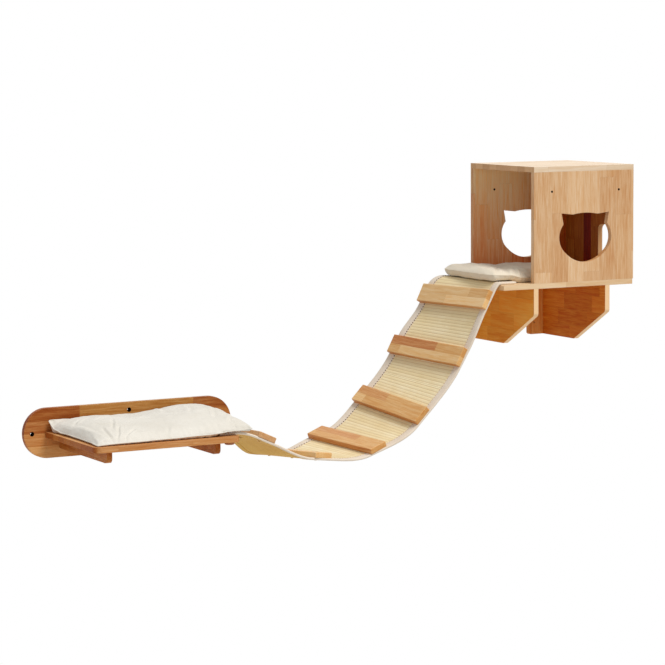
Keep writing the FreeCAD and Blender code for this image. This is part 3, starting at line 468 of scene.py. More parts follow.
# Shelf: the backboard has darker blocks at its upper corners, the board and its fins are plainer. Its
# rows of blocks run from the lowest to the highest.
BACKBOARD_ROWS = (
    ((0.0, (208, 154, 96)), (0.20, (200, 142, 84)), (0.52, (190, 132, 76)), (0.8, (170, 106, 56))),
    ((0.0, (196, 136, 80)), (0.28, (194, 140, 82)), (0.66, (184, 124, 70))),
    ((0.0, (178, 114, 62)), (0.24, (192, 138, 80)), (0.70, (182, 126, 72))),
    ((0.0, (162, 94, 42)), (0.265, (186, 134, 74)), (0.815, (162, 102, 54))),
)
SHELF_TONES = ((198, 140, 86), (214, 162, 106), (206, 150, 96))
SHELF_FIN_TONES = ((172, 102, 42), (190, 122, 58), (180, 110, 48))
HEAD_RADIUS = 0.007
SHELF_HOLES = ((0.0, 0.0, HEAD_RADIUS), (0.3395, 0.056, HEAD_RADIUS), (0.679, 0.0, HEAD_RADIUS))
board_low, board_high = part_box("shelf_backboard")
dress("shelf_backboard", laid_wood(
    "shelf_back_wood", X_WAY, Z_WAY, board_low, (board_high[2] - board_low[2]) / len(BACKBOARD_ROWS),
    board_high[0] - board_low[0], BACKBOARD_ROWS, 4, grain=1.15, holes=SHELF_HOLES, satin=True))
# The shelf board's end grain is darkened more: darker end grain, and painted shade for its left end.
board("shelf_board", "shelf_board_wood", X_WAY, Y_WAY, SHELF_TONES, 0.045, 0.24, 5, ends=0.7, satin=True)
for side, seed in (("left", 2), ("right", 6)):
    board("shelf_fin_" + side, "shelf_fin_%s_wood" % side, Y_WAY, Z_WAY, SHELF_FIN_TONES, 0.038, 0.16, seed,
          ends=0.1, satin=True)

# Turned and hidden small wood: the clamp knobs under the shelf and the dowels in the house.
KNOB_TONES = ((168, 104, 56), (188, 124, 72))
board("shelf_anchor_knobs", "knob_wood", X_WAY, Y_WAY, KNOB_TONES, 0.05, 0.1, 1)
for name, seed in (("top_dowels", 2), ("side_dowels", 3)):
    board(name, name + "_wood", Z_WAY, X_WAY, FRONT_TONES, 0.05, 0.2, seed)


def plated(name, tones, fineness, metallic, rough, bump=0.0):
    """Zinc-plated steel with a faint mottled sheen."""
    material, graph, shader = new_material(name)
    mottle = graph.noise(graph.place(), fineness, 2.0)
    graph.fill(shader, {"Base Color": graph.ramp(mottle, tuple(zip((0.3, 0.7), tones))),
                        "Metallic": metallic, "Roughness": graph.span(mottle, 0.3, 0.7, *rough)})
    if bump:
        graph.put(graph.bump(mottle, bump, 0.0001), shader.inputs["Normal"])
    return material


# Screws, bolts and washers are bright, and the treads' are yellow, which hardly shows on the canvas.
steel = plated("zinc_steel", ((176, 178, 182), (206, 208, 210)), 900.0, 1.0, (0.24, 0.4), 0.1)
yellow = plated("yellow_zinc", ((186, 146, 76), (208, 172, 100)), 700.0, 0.7, (0.5, 0.62))
for name in nodes:
    if name.endswith(("_screws", "_washers", "_bolts")):
        dress(name, yellow if name.startswith("tread_") else steel)

# Belt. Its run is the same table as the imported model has: each row is a straight line across the belt,
# from its front edge to its back edge, in shares of the span and of the drop between the boards, with
# its slope in degrees. The crest's row has a slope for either edge.
SHELF_END = 0.546
SHELF_TOP = 0.004
BASE_START = 1.532
BASE_TOP = 0.435
BELT_FRONT = -0.385
BELT_BACK = -0.035
BELT_WIDE = BELT_BACK - BELT_FRONT
BELT_THICK = 0.008
FLAT_HALF = 0.039
SHELF_LAP = 0.056
SHELF_LIP = 0.001
BASE_LIP = 0.011
BASE_LAP = 0.052
TANGENT_SHARE = 0.95
STEP = 0.002
TREAD_ROWS = (
    (0.111, -0.058, 0.101, -0.086, -24.7),
    (0.321, -0.232, 0.269, -0.283, -6.5),
    (0.530, -0.209, 0.477, -0.176, 19.0),
    (0.701, 0.014, 0.649, 0.109, 45.0),
    (0.858, 0.448, 0.783, 0.487, 59.0),
    (0.958, 0.882, 0.904, 0.879, 61.0),
)
CREST_ROW = (0.996, 1.0145, 0.974, 1.022, 37.0, 2.0)


def heading(degrees):
    """The belt's direction in its X-Z plane at a slope."""
    return Vector((math.cos(math.radians(degrees)), 0, math.sin(math.radians(degrees))))


def belt_rows():
    """The crossings of the walking face, each as front, back, front way and back way."""
    span = BASE_START - SHELF_END
    drop = BASE_TOP - SHELF_TOP
    level = heading(0)

    def across(x, z):
        return Vector((x, BELT_FRONT, z)), Vector((x, BELT_BACK, z)), level, level

    def placed(front_x, front_z, back_x, back_z):
        return (Vector((SHELF_END + front_x * span, BELT_FRONT, SHELF_TOP + front_z * drop)),
                Vector((SHELF_END + back_x * span, BELT_BACK, SHELF_TOP + back_z * drop)))

    rows = [across(SHELF_END - SHELF_LAP, SHELF_TOP + BELT_THICK),
            across(SHELF_END + SHELF_LIP, SHELF_TOP + BELT_THICK)]
    for *places, slope in TREAD_ROWS:
        front, back = placed(*places)
        way = heading(slope)
        rows.append((front - way * FLAT_HALF, back - way * FLAT_HALF, way, way))
        rows.append((front + way * FLAT_HALF, back + way * FLAT_HALF, way, way))
    *places, front_slope, back_slope = CREST_ROW
    rows.append(placed(*places) + (heading(front_slope), heading(back_slope)))
    rows.append(across(BASE_START + BASE_LIP, BASE_TOP + BELT_THICK))
    rows.append(across(BASE_START + BASE_LIP + BASE_LAP, BASE_TOP + BELT_THICK))
    return rows


def hermite(start, start_way, end, end_way, share):
    """A point and a direction on the free curve between two crossings."""
    reach = (end - start).length * TANGENT_SHARE
    s2, s3 = share ** 2, share ** 3
    place = (start * (2 * s3 - 3 * s2 + 1) + start_way * reach * (s3 - 2 * s2 + share)
             + end * (3 * s2 - 2 * s3) + end_way * reach * (s3 - s2))
    way = (start * (6 * s2 - 6 * share) + start_way * reach * (3 * s2 - 4 * share + 1)
           + end * (6 * share - 6 * s2) + end_way * reach * (3 * s2 - 2 * share))
    return place, way.normalized()


class Station:
    """One line across the belt: its two ends, the way up at each and how far along the belt it is."""

    def __init__(self, front, back, front_way, back_way):
        self.front = front
        self.across = back - front
        self.front_up = front_way.cross(self.across).normalized()
        self.back_up = back_way.cross(self.across).normalized()
        self.run = 0.0

    def at(self, distance, depth):
        share = distance / BELT_WIDE
        up = self.front_up.lerp(self.back_up, share)
        return self.front + self.across * share - up * depth

    def middle(self):
        return self.at(BELT_WIDE / 2, BELT_THICK / 2)


rows = belt_rows()
stations = []
marks = []
for here, there in zip(rows, rows[1:]):
    length = ((there[0] - here[0]).length + (there[1] - here[1]).length) / 2
    steps = 8 * max(1, round(length / STEP / 8))
    marks.append(len(stations))
    straight = (there[0] - here[0]).normalized().dot(here[2]) > 0.999999
    for count in range(steps):
        share = count / steps
        if straight:
            stations.append(Station(here[0].lerp(there[0], share), here[1].lerp(there[1], share), *here[2:]))
            continue
        front, front_way = hermite(here[0], here[2], there[0], there[2], share)
        back, back_way = hermite(here[1], here[3], there[1], there[3], share)
        stations.append(Station(front, back, front_way, back_way))
marks.append(len(stations))
stations.append(Station(*rows[-1]))
for here, there in zip(stations, stations[1:]):
    there.run = here.run + (there.middle() - here.middle()).length

# Row 2k+2 to row 2k+3 is the flat place of tread k, and the middle of the next span is the mid-gap.
# The belt is cut into half spans there, each between the belt and one tread. A half span is its first and
# last station, the stations where it hangs on the belt and on the tread, and the tread.
half_spans = []
for count in range(len(TREAD_ROWS)):
    flat_start = marks[2 * count + 2]
    flat_end = marks[2 * count + 3]
    centre = (flat_start + flat_end) // 2
    before = 0 if count == 0 else (marks[2 * count + 1] + flat_start) // 2
    root_before = marks[1] if count == 0 else before
    last = count == len(TREAD_ROWS) - 1
    after = len(stations) - 1 if last else (flat_end + marks[2 * count + 4]) // 2
    root_after = marks[2 * count + 4] if last else after
    body = "tread_%d" % (count + 1)
    half_spans.append((before, centre, root_before, flat_start, body))
    half_spans.append((centre, after, root_after, flat_end, body))

# Treads: boards across the belt, each glued from two strips with blocks of different colour. The upper
# treads' long sides get painted shade.
TREAD_STRIP = 0.033
PALE, MID, WARM, DARK = (230, 192, 138), (218, 172, 112), (210, 156, 98), (200, 138, 80)
DUN, STRAW = (214, 174, 130), (240, 204, 152)
TREAD_BLOCKS = (
    (((0.0, DUN), (0.45, MID)), ((0.0, DUN), (0.62, MID))),
    (((0.0, PALE), (0.38, MID)), ((0.0, PALE), (0.70, MID))),
    (((0.0, MID), (0.30, MID)), ((0.0, MID), (0.36, WARM))),
    (((0.0, MID), (0.86, PALE)), ((0.0, MID), (0.58, WARM))),
    (((0.0, PALE), (0.86, MID)), ((0.0, MID), (0.38, DARK))),
    (((0.0, STRAW), (0.60, PALE)), ((0.0, MID), (0.28, PALE))),
)
# Colours of the painted shade on each tread's long sides. White leaves them as they are.
LONG_SIDE_SHADES = ((255, 255, 255),) * 2 + ((242, 218, 196),) + ((237, 206, 176),) * 3
for count, (row, blocks, shade_tint) in enumerate(zip(TREAD_ROWS, TREAD_BLOCKS, LONG_SIDE_SHADES), 1):
    centre = stations[(marks[2 * count] + marks[2 * count + 1]) // 2]
    along = centre.across.normalized()
    up = heading(row[4]).cross(along).normalized()
    across = along.cross(up).normalized()
    dress("tread_%d" % count, laid_wood(
        "tread_%d_wood" % count, along, across, centre.front - across * TREAD_STRIP, TREAD_STRIP, BELT_WIDE,
        blocks, count * 3, grain=1.3, rough=0.4, ends=0.25, shades=((-across, shade_tint, X_WAY),)))

SHARP = math.radians(50)


def belt_loft(name, span, section, stride=1, wave=None):
    """A closed solid along a half span. Section is a loop of (distance from the front edge, depth)."""
    points = []
    chosen = list(range(span[0], span[1] + 1, stride))
    if chosen[-1] != span[1]:
        chosen.append(span[1])
    for index in chosen:
        station = stations[index]
        for spot, (distance, depth) in enumerate(section):
            lift = wave(station.run, distance, spot) if wave else 0.0
            points.append(station.at(distance, depth - lift))
    size = len(section)
    faces = []
    for ring in range(len(chosen) - 1):
        low = ring * size
        for spot in range(size):
            after = (spot + 1) % size
            faces.append((low + spot, low + size + spot, low + size + after, low + after))
    top = (len(chosen) - 1) * size
    faces.append(tuple(range(size)))
    faces.append(tuple(top + spot for spot in reversed(range(size))))
    item = new_mesh(name, points, faces)
    smoothed(item.data)
    item.data.set_sharp_from_angle(angle=SHARP)
    cell = bmesh.new()
    cell.from_mesh(item.data)
    bmesh.ops.recalc_face_normals(cell, faces=cell.faces)
    if cell.calc_volume(signed=True) < 0:
        bmesh.ops.reverse_faces(cell, faces=cell.faces)
    cell.to_mesh(item.data)
    cell.free()
    return item


def bend(item, span):
    """Bake a piece of the belt's placement into its mesh."""
    stations[span[2]].middle()
    stations[span[3]].middle()
    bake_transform(item)


def hang(piece, span, node):
    """Bake one half span of a sheet in place, and hide the imported node that it stands for."""
    bend(piece, span)
    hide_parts(node)


def ring_section(low, high, top, bottom, count):
    """A flat loop across the belt, with points spread over its top and its bottom."""
    steps = [low + (high - low) * step / count for step in range(count + 1)]
    return [(place, top) for place in steps] + [(place, bottom) for place in reversed(steps)]


def cloth_material(name, tones, pitch, strength, sheen=0.2, rough=0.85, blotch=9.0):
    """A woven cloth from its darkest to its lightest tone, its weave made of two crossed waves."""
    material, graph, shader = new_material(name)
    place = graph.place()
    waves = [graph.add("ShaderNodeTexWave", {"Vector": place, "Scale": math.pi / 10 / pitch,
                                             "Distortion": 0.6, "Detail": 1.0},
                       wave_type="BANDS", bands_direction=way).outputs["Fac"] for way in ("X", "Z")]
    thread = graph.math("MAXIMUM", *waves)
    cloud = graph.noise(place, blotch, 4.0, 0.6)
    slub = graph.noise(place, 0.4 / pitch, 2.0, 0.6)
    mixed = graph.plus(graph.times(cloud, 0.6), graph.times(slub, 0.4))
    steps = [(0.3 + 0.4 * count / (len(tones) - 1), tone) for count, tone in enumerate(tones)]
    colour = graph.scaled(graph.ramp(mixed, steps), graph.span(thread, 0.0, 1.0, 0.86, 1.0))
    graph.fill(shader, {"Base Color": colour, "Normal": graph.bump(thread, strength, pitch / 4),
                        "Roughness": rough, "Sheen Weight": sheen, "Sheen Roughness": 0.5,
                        "Specular IOR Level": 0.2})
    return material


# Canvas backing, under the whole belt: plain unbleached duck, golden brown in its own shade.
FOLD = 0.0015
LAYER_GAP = 0.00015
CANVAS_THICK = 0.0016
CANVAS_LOW = BELT_THICK - FOLD - LAYER_GAP
CANVAS_HIGH = CANVAS_LOW - CANVAS_THICK
CANVAS_ACROSS = 24
CANVAS_STRIDE = 4
MAT_START = FOLD + LAYER_GAP
MAT_END = BELT_WIDE - MAT_START
canvas_cloth = cloth_material("canvas_cloth", ((204, 156, 70), (216, 170, 84), (226, 184, 98)), 0.0014, 0.4,
                              0.06)
canvas_section = ring_section(MAT_START, MAT_END, CANVAS_HIGH, CANVAS_LOW, CANVAS_ACROSS)
for count, span in enumerate(half_spans, 1):
    piece = belt_loft("canvas_%02d" % count, span, canvas_section, CANVAS_STRIDE)
    piece.data.materials.append(canvas_cloth)
    hang(piece, span, "bridge_canvas")


def open_group(name, **numbers):
    """A geometry node group that takes a geometry, some numbers and a material."""
    tree = bpy.data.node_groups.new(name, "GeometryNodeTree")
    face = tree.interface
    face.new_socket("Geometry", in_out="INPUT", socket_type="NodeSocketGeometry")
    for key, value in numbers.items():
        face.new_socket(key, in_out="INPUT", socket_type="NodeSocketFloat").default_value = value
    face.new_socket("Material", in_out="INPUT", socket_type="NodeSocketMaterial")
    face.new_socket("Geometry", in_out="OUTPUT", socket_type="NodeSocketGeometry")
    graph = Graph(tree)
    return graph, graph.add("NodeGroupInput").outputs


def close_group(graph, start, geometry):
    """Paint a node group's geometry with its material and send it out."""
    paint = graph.add("GeometryNodeSetMaterial", {"Geometry": geometry, "Material": start["Material"]})
    graph.add("NodeGroupOutput", {"Geometry": paint.outputs[0]})
    return graph.tree


def made_plain(item, tree, **values):
    """Run a node group on an object and keep the result as a plain mesh object of the same name."""
    changes = item.modifiers.new("nodes", "NODES")
    changes.node_group = tree
    for socket in tree.interface.items_tree:
        if socket.in_out == "INPUT" and socket.name.lower() in values:
            changes[socket.identifier] = values[socket.name.lower()]
    mesh = frozen(item)
    name = item.name
    bpy.data.objects.remove(item)
    return new_object(name, mesh)


# Sisal mat: thick cords woven across the belt. The ribs rise from a plain slab by geometry nodes,
# which divide it and lift its top by a rounded wave along the belt.
SISAL_HIGH = FOLD + LAYER_GAP
SISAL_LOW = CANVAS_HIGH - LAYER_GAP
SISAL_ACROSS = 26
RIB_PITCH = 0.0117
RIB_HEIGHT = 0.0009
RIB_SEED = 3.0
STRAW_TONES = ((0.30, (230, 208, 158)), (0.50, (240, 222, 178)), (0.70, (248, 236, 202)))
VALLEY_SHADE_TONE = (186, 144, 88)


def rib_nodes():
    """Geometry nodes that raise ribs on the vertices whose attribute lift is 1."""
    graph, start = open_group("sisal_ribs", Pitch=RIB_PITCH, Height=RIB_HEIGHT, Seed=RIB_SEED)
    divide = graph.add("GeometryNodeSubdivideMesh", {"Mesh": start["Geometry"], "Level": 1})
    run, lift = (graph.add("GeometryNodeInputNamedAttribute", {"Name": name}, data_type="FLOAT")
                 .outputs["Attribute"] for name in ("run", "lift"))
    place = graph.add("GeometryNodeInputPosition").outputs[0]
    rough = graph.add("ShaderNodeTexNoise", {"Vector": place, "W": start["Seed"], "Scale": 160.0,
                                             "Detail": 2.0}, noise_dimensions="4D").outputs["Fac"]
    wander = graph.times(graph.math("SUBTRACT", rough, 0.5), 0.25)
    turn = graph.plus(graph.math("DIVIDE", run, start["Pitch"]), wander)
    wave = graph.math("POWER", graph.math("ABSOLUTE", graph.math("SINE", graph.times(turn, math.pi))), 0.6)
    high = graph.times(graph.times(wave, graph.span(rough, 0.3, 0.7, 0.75, 1.0)), start["Height"])
    normal = graph.add("GeometryNodeInputNormal").outputs[0]
    offset = graph.scaled(normal, graph.times(high, lift))
    move = graph.add("GeometryNodeSetPosition", {"Geometry": divide.outputs["Mesh"], "Offset": offset})
    return close_group(graph, start, move.outputs[0])


def store(item, name, values):
    """Keep one number for each vertex under a name."""
    attribute = item.data.attributes.new(name, "FLOAT", "POINT")
    attribute.data.foreach_set("value", values)


def sisal_material():
    """Dry plant fibre: straw tones in ribs across the belt, with painted shade between them, and fine hairs.
    """
    material, graph, shader = new_material("sisal_fibre")
    place = graph.place()
    run = graph.add("ShaderNodeAttribute", attribute_name="run").outputs["Fac"]
    crest = graph.math("ABSOLUTE", graph.math("SINE", graph.times(run, math.pi / RIB_PITCH)))
    rib = graph.math("FLOOR", graph.times(run, 1 / RIB_PITCH))
    tone = graph.add("ShaderNodeTexWhiteNoise", {"W": rib}, noise_dimensions="1D").outputs["Value"]
    cloud = graph.noise(place, 14.0, 3.0, 0.6)
    across = graph.dot(place, Y_WAY)
    hair = graph.noise(graph.join(graph.times(across, 55.0), graph.times(run, 900.0), 0.0), 1.0, 3.0, 0.7)
    slant = graph.plus(graph.times(across, 260.0), graph.times(run, 240.0))
    twist = graph.noise(graph.join(slant, rib, 0.0), 1.0, 1.0, 0.5)
    mixed = graph.plus(graph.times(tone, 0.16), graph.times(cloud, 0.36), graph.times(hair, 0.44))
    # Painted shade in the hollows between the ribs.
    valley_shade = graph.times(graph.span(crest, 0.0, 0.40, 1.0, 0.0), 0.6)
    height = graph.plus(graph.times(hair, 0.6), graph.times(twist, 0.7))
    graph.fill(shader, {"Base Color": graph.blend(valley_shade, graph.ramp(mixed, STRAW_TONES), VALLEY_SHADE_TONE),
                        "Normal": graph.bump(height, 0.6, 0.0006), "Roughness": 0.8,
                        "Sheen Weight": 0.15, "Specular IOR Level": 0.25})
    return material


sisal_fibre = sisal_material()
ribs = rib_nodes()
sisal_section = ring_section(MAT_START, MAT_END, SISAL_HIGH, SISAL_LOW, SISAL_ACROSS)
for count, span in enumerate(half_spans, 1):
    slab = belt_loft("sisal_%02d" % count, span, sisal_section)
    last = len(slab.data.vertices) // len(sisal_section) - 1
    places = [(ring, spot) for ring in range(last + 1) for spot in range(len(sisal_section))]
    store(slab, "run", [stations[span[0] + ring].run for ring, _ in places])
    store(slab, "lift", [float(0 < spot < SISAL_ACROSS and 0 < ring < last) for ring, spot in places])
    slab.data.materials.append(sisal_fibre)
    piece = made_plain(slab, ribs, pitch=RIB_PITCH, height=RIB_HEIGHT, seed=RIB_SEED, material=sisal_fibre)
    piece.data.set_sharp_from_angle(angle=SHARP)
    hang(piece, span, "sisal_mat")

# Bindings: folded cotton strips round the belt's long edges, sewn down along the sisal. Their top
# and edge are greyish cream, and below they take the canvas's colour. Each side has its strip's width
# and its thread's radius.
HEMS = {"front": (0.027, 0.0010), "back": (0.034, 0.0015)}
HEM_EDGE_ROUND = 0.0035
HEM_TOP = 5
HEM_EDGE = (90, 65, 40, 15, -15, -40, -65, -90)
HEM_UNDER = (12, 16)
STITCH_PITCH = 0.0094
STITCH_LENGTH = 0.0054
STITCH_INSET = 0.0024
STITCH_RISE = 0.0002
hem_cloth = cloth_material("hem_cloth", ((224, 206, 184), (234, 219, 200), (243, 232, 216)), 0.0011, 0.4)


def hem_section(wide):
    """The loop of a folded strip, open towards the belt's middle, from its top inner edge round."""
    loop = [(wide, 0.0002), (wide - 0.004, 0.0003), (wide - 0.008, -0.0001), (wide - 0.013, -0.0003),
            (wide - 0.018, -0.0002)]
    for degrees in HEM_EDGE:
        angle = math.radians(degrees)
        loop.append((HEM_EDGE_ROUND - HEM_EDGE_ROUND * math.cos(angle),
                     BELT_THICK / 2 - BELT_THICK / 2 * math.sin(angle)))
    low = BELT_THICK
    loop += [(0.010, low), (0.018, low), (wide, low), (wide, low - FOLD), (0.012, low - FOLD)]
    loop += [(FOLD, low - FOLD), (FOLD, FOLD), (0.012, FOLD - 0.0001), (wide - 0.008, FOLD - 0.0001),
             (wide, FOLD - 0.0001)]
    return loop


def hem_wave(run, distance, spot, wide):
    """Small puckers between the stitches, and a slow waver of the outer edge."""
    if spot < HEM_TOP:
        near = math.exp(-((distance - (wide - STITCH_INSET)) / 0.004) ** 2)
        pucker = 0.00025 * near * math.cos(2 * math.pi * run / STITCH_PITCH)
        return pucker + 0.00035 * fuzz(run * 30, distance * 60, 0)
    if spot < HEM_TOP + len(HEM_EDGE):
        return 0.0003 * fuzz(run * 24, 3.0, 0)
    return 0.0


def stitch_nodes():
    """Geometry nodes that set one short thread after another along a curve."""
    graph, start = open_group("stitches", Pitch=0.006, Length=0.0036, Radius=0.0006)
    points = graph.add("GeometryNodeCurveToPoints", {"Curve": start["Geometry"], "Length": start["Pitch"]},
                       mode="LENGTH").outputs
    ball = graph.add("GeometryNodeMeshIcoSphere", {"Radius": 1.0, "Subdivisions": 2})
    align = graph.add("FunctionNodeAlignEulerToVector", {"Vector": points["Tangent"]}, axis="X")
    scale = graph.join(graph.times(start["Length"], 0.5), start["Radius"], start["Radius"])
    spread = graph.add("GeometryNodeInstanceOnPoints",
                       {"Points": points["Points"], "Instance": ball.outputs["Mesh"],
                        "Rotation": align.outputs[0], "Scale": scale})
    real = graph.add("GeometryNodeRealizeInstances", {0: spread.outputs[0]})
    smooth = graph.add("GeometryNodeSetShadeSmooth", {0: real.outputs[0]})
    return close_group(graph, start, smooth.outputs[0])


def line_object(name, path, closed=False, radius=0.0):
    """A curve along a path, with a round section where it has a radius."""
    curve = bpy.data.curves.new(name, "CURVE")
    curve.dimensions = "3D"
    curve.bevel_depth = radius
    curve.bevel_resolution = 3
    spline = curve.splines.new("POLY")
    spline.points.add(len(path) - 1)
    spline.use_cyclic_u = closed
    for point, place in zip(spline.points, path):
        point.co = (*place, 1)
    return new_object(name, curve)


def thread_material(name, tones):
    """Waxed thread with a fine twist."""
    material, graph, shader = new_material(name)
    twist = graph.noise(graph.place(), 700.0, 2.0)
    graph.fill(shader, {"Base Color": graph.ramp(twist, tuple(zip((0.35, 0.65), tones))), "Roughness": 0.6})
    return material


stitches = stitch_nodes()
dark_thread = thread_material("dark_thread", ((62, 38, 18), (94, 62, 34)))
pale_thread = thread_material("pale_thread", ((186, 160, 132), (214, 192, 166)))
for side, threads in (("front", pale_thread), ("back", dark_thread)):
    hem, thick = HEMS[side]
    front = side == "front"
    loop = [(distance if front else BELT_WIDE - distance, depth) for distance, depth in hem_section(hem)]
    row = hem - STITCH_INSET if front else BELT_WIDE - hem + STITCH_INSET

    def wave(run, distance, spot):
        return hem_wave(run, distance if front else BELT_WIDE - distance, spot, hem)

    for count, span in enumerate(half_spans, 1):
        piece = belt_loft("%s_hem_%02d" % (side, count), span, loop, 1, wave)
        piece.data.materials.append(hem_cloth)
        piece.data.materials.append(canvas_cloth)
        for polygon in piece.data.polygons:
            spots = [index % len(loop) for index in polygon.vertices]
            if len(spots) == 4 and min(spots) >= HEM_UNDER[0] and max(spots) <= HEM_UNDER[1]:
                polygon.material_index = 1
        hang(piece, span, side + "_binding")
        path = [stations[index].at(row, -STITCH_RISE) for index in range(span[0], span[1] + 1)]
        line = line_object("%s_stitches_%02d" % (side, count), path)
        sewing = made_plain(line, stitches, pitch=STITCH_PITCH, length=STITCH_LENGTH, radius=thick,
                            material=threads)
        bend(sewing, span)

# Cushions: loose cotton pillows with a piped seam round their edge. Each is a closed form built from
# its outline and its heights, then blown up by a short cloth simulation, divided and wrinkled.
CUSHION_VOXEL = 0.005
CUSHION_FRAMES = 20
PUFF = {"use_pressure": True, "uniform_pressure_force": 4.0, "quality": 5, "mass": 0.15,
        "tension_stiffness": 12, "compression_stiffness": 12, "bending_stiffness": 0.4, "shrink_min": -0.03}
PUFF_CAP = 0.005
PIPING_RADIUS = 0.002
LONG_BOW = 0.004


def between(table, value):
    """A value read from a table of (place, value) rows, with straight steps between them."""
    for (x0, y0), (x1, y1) in zip(table, table[1:]):
        if value <= x1:
            share = max(0.0, min(1.0, (value - x0) / (x1 - x0)))
            return y0 + (y1 - y0) * share
    return table[-1][1]


def rise(distance, reach):
    """A rounded rise from 0 at an edge to 1 at its reach."""
    share = min(1.0, distance / reach)
    return (1 - (1 - share) ** 2) ** 0.5


def swell(share, size, near, far):
    """1 within a cushion, and a rounded fall to 0 at both ends of one of its sizes."""
    return rise(share * size, near) * rise((1 - share) * size, far)


def plan(a, b, left, right, front, back):
    """A place in a cushion's outline. A runs from left to right and b from the front to the wall."""
    bow = LONG_BOW * math.sin(math.pi * a)
    front, back = front + bow, back - bow
    return left + (right - left) * a, front + (back - front) * b


def gathers(x, y, fineness, seed, away, width):
    """Short gathers that run in from a front seam this far away from the wall."""
    return math.sin(x * fineness + 5 * fuzz(x * 30, 0, seed)) * math.exp(-((y + away) / width) ** 2)


def fold(place, folds):
    """The depth of all folds at a place: each is a soft valley beside a small ridge."""
    depth = 0.0
    for (x0, y0), (x1, y1), width, deep in folds:
        along = Vector((x1 - x0, y1 - y0))
        way = Vector((place.x - x0, place.y - y0))
        share = way.dot(along) / along.length_squared
        fade = math.exp(-(max(0.0, abs(share - 0.5) - 0.3) * 5) ** 2)
        aside = (way.x * along.y - way.y * along.x) / along.length / width
        aside += 0.8 * fuzz(share * 2.0, x0 * 40, y0 * 40)
        depth += deep * fade * (0.8 * math.exp(-(aside - 1.1) ** 2) - math.exp(-aside ** 2))
    return depth


def pillow(name, outline, top, bottom, seam, across, deep):
    """A closed form over a four-sided outline. Outline maps two shares to a place in plan."""
    points = []
    index = {}
    faces = []
    for sheet in (0, 1):
        for i in range(across + 1):
            for j in range(deep + 1):
                rim = i in (0, across) or j in (0, deep)
                if sheet and rim:
                    index[1, i, j] = index[0, i, j]
                    continue
                a, b = i / across, j / deep
                x, y = outline(a, b)
                z = seam(a, b, x, y) if rim else (top if sheet == 0 else bottom)(a, b, x, y)
                index[sheet, i, j] = len(points)
                points.append((x, y, z))
        for i in range(across):
            for j in range(deep):
                face = [index[sheet, i, j], index[sheet, i + 1, j], index[sheet, i + 1, j + 1],
                        index[sheet, i, j + 1]]
                faces.append(face if sheet == 0 else face[::-1])
    item = new_mesh(name, points, faces)
    smoothed(item.data)
    return item


def applied(item, kind, **settings):
    """Give an object a modifier and keep what it makes as the object's own mesh."""
    change = item.modifiers.new("change", kind)
    for key, value in settings.items():
        setattr(change, key, value)
    mesh = frozen(item)
    item.modifiers.clear()
    item.data = mesh
    return mesh


def puffed(item, step):
    """Voxel remesh and a short cloth simulation with a capped movement, never below the step."""
    mesh = applied(item, "REMESH", mode="VOXEL", voxel_size=CUSHION_VOXEL)
    rest = [vertex.co.copy() for vertex in mesh.vertices]
    cloth = item.modifiers.new("cloth", "CLOTH")
    for key, value in PUFF.items():
        setattr(cloth.settings, key, value)
    cloth.settings.effector_weights.gravity = 0
    cloth.point_cache.frame_start = 1
    cloth.point_cache.frame_end = CUSHION_FRAMES
    for number in range(1, CUSHION_FRAMES + 1):
        scene.frame_set(number)
    moved = frozen(item)
    item.modifiers.clear()
    scene.frame_set(1)
    for vertex, old, new in zip(mesh.vertices, rest, moved.vertices):
        move = new.co - old
        if move.length > PUFF_CAP:
            move = move.normalized() * PUFF_CAP
        place = old + move
        place.z = max(place.z, between(step, place.x))
        vertex.co = place
    bpy.data.meshes.remove(moved)
    smoothed(applied(item, "SUBSURF", levels=1, render_levels=1))


def wrinkled(item, depth, step):
    """Move the vertices along their normals by a height function, never below the step."""
    known = [(vertex.co.copy(), vertex.normal.copy()) for vertex in item.data.vertices]
    flat = []
    for place, normal in known:
        place = place + normal * depth(place, normal)
        place.z = max(place.z, between(step, place.x))
        flat.extend(place)
    item.data.vertices.foreach_set("co", flat)
    item.data.update()


def piped(name, pad, outline, seam, cloth, count=90):
    """A sewn cord round a cushion's seam, set on the cushion's own surface."""
    path = []
    for way in range(4):
        for step in range(count):
            share = step / count
            a, b = ((share, 0.0), (1.0, share), (1 - share, 1.0), (0.0, 1 - share))[way]
            x, y = outline(a, b)
            path.append((x, y, seam(a, b, x, y)))
    cell = bmesh.new()
    cell.from_mesh(pad.data)
    tree = BVHTree.FromBMesh(cell)
    snapped = [tree.find_nearest(Vector(place))[0] for place in path]
    cell.free()
    eased = []
    for index in range(len(snapped)):
        near = [snapped[(index + step) % len(snapped)] for step in (-2, -1, 0, 1, 2)]
        eased.append(sum(near, Vector()) / len(near))
    line = line_object(name, eased, True, PIPING_RADIUS)
    mesh = frozen(line)
    bpy.data.objects.remove(line)
    mesh.materials.append(cloth)
    smoothed(mesh)
    return new_object(name, mesh)


def cushion(name, outline, top, seam, depth, step, size, reach, cells, tones):
    """Make a cushion with its piping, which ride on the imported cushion's body.

    Step is a table of the heights that it rests on along X, size its length and depth, reach how far
    in from its edge the underside comes down, and cells how finely it is divided both ways."""

    def bottom(a, b, x, y):
        edge = seam(a, b, x, y)
        long, deep = (swell(share, length, reach, reach) for share, length in zip((a, b), size))
        return edge + (between(step, x) - edge) * long * deep

    cloth = cloth_material(name + "_cushion_cloth", tones, 0.0010, 0.25, 0.3, 0.9, 6.0)
    node = name + "_cushion"
    pad = pillow(name + "_pillow", outline, top, bottom, seam, *cells)
    puffed(pad, step)
    wrinkled(pad, depth, step)
    pad.data.materials.clear()
    pad.data.materials.append(cloth)
    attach(pad, node)
    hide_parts(node)
    cord = piped(name + "_piping", pad, outline, seam, cloth)
    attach(cord, node)


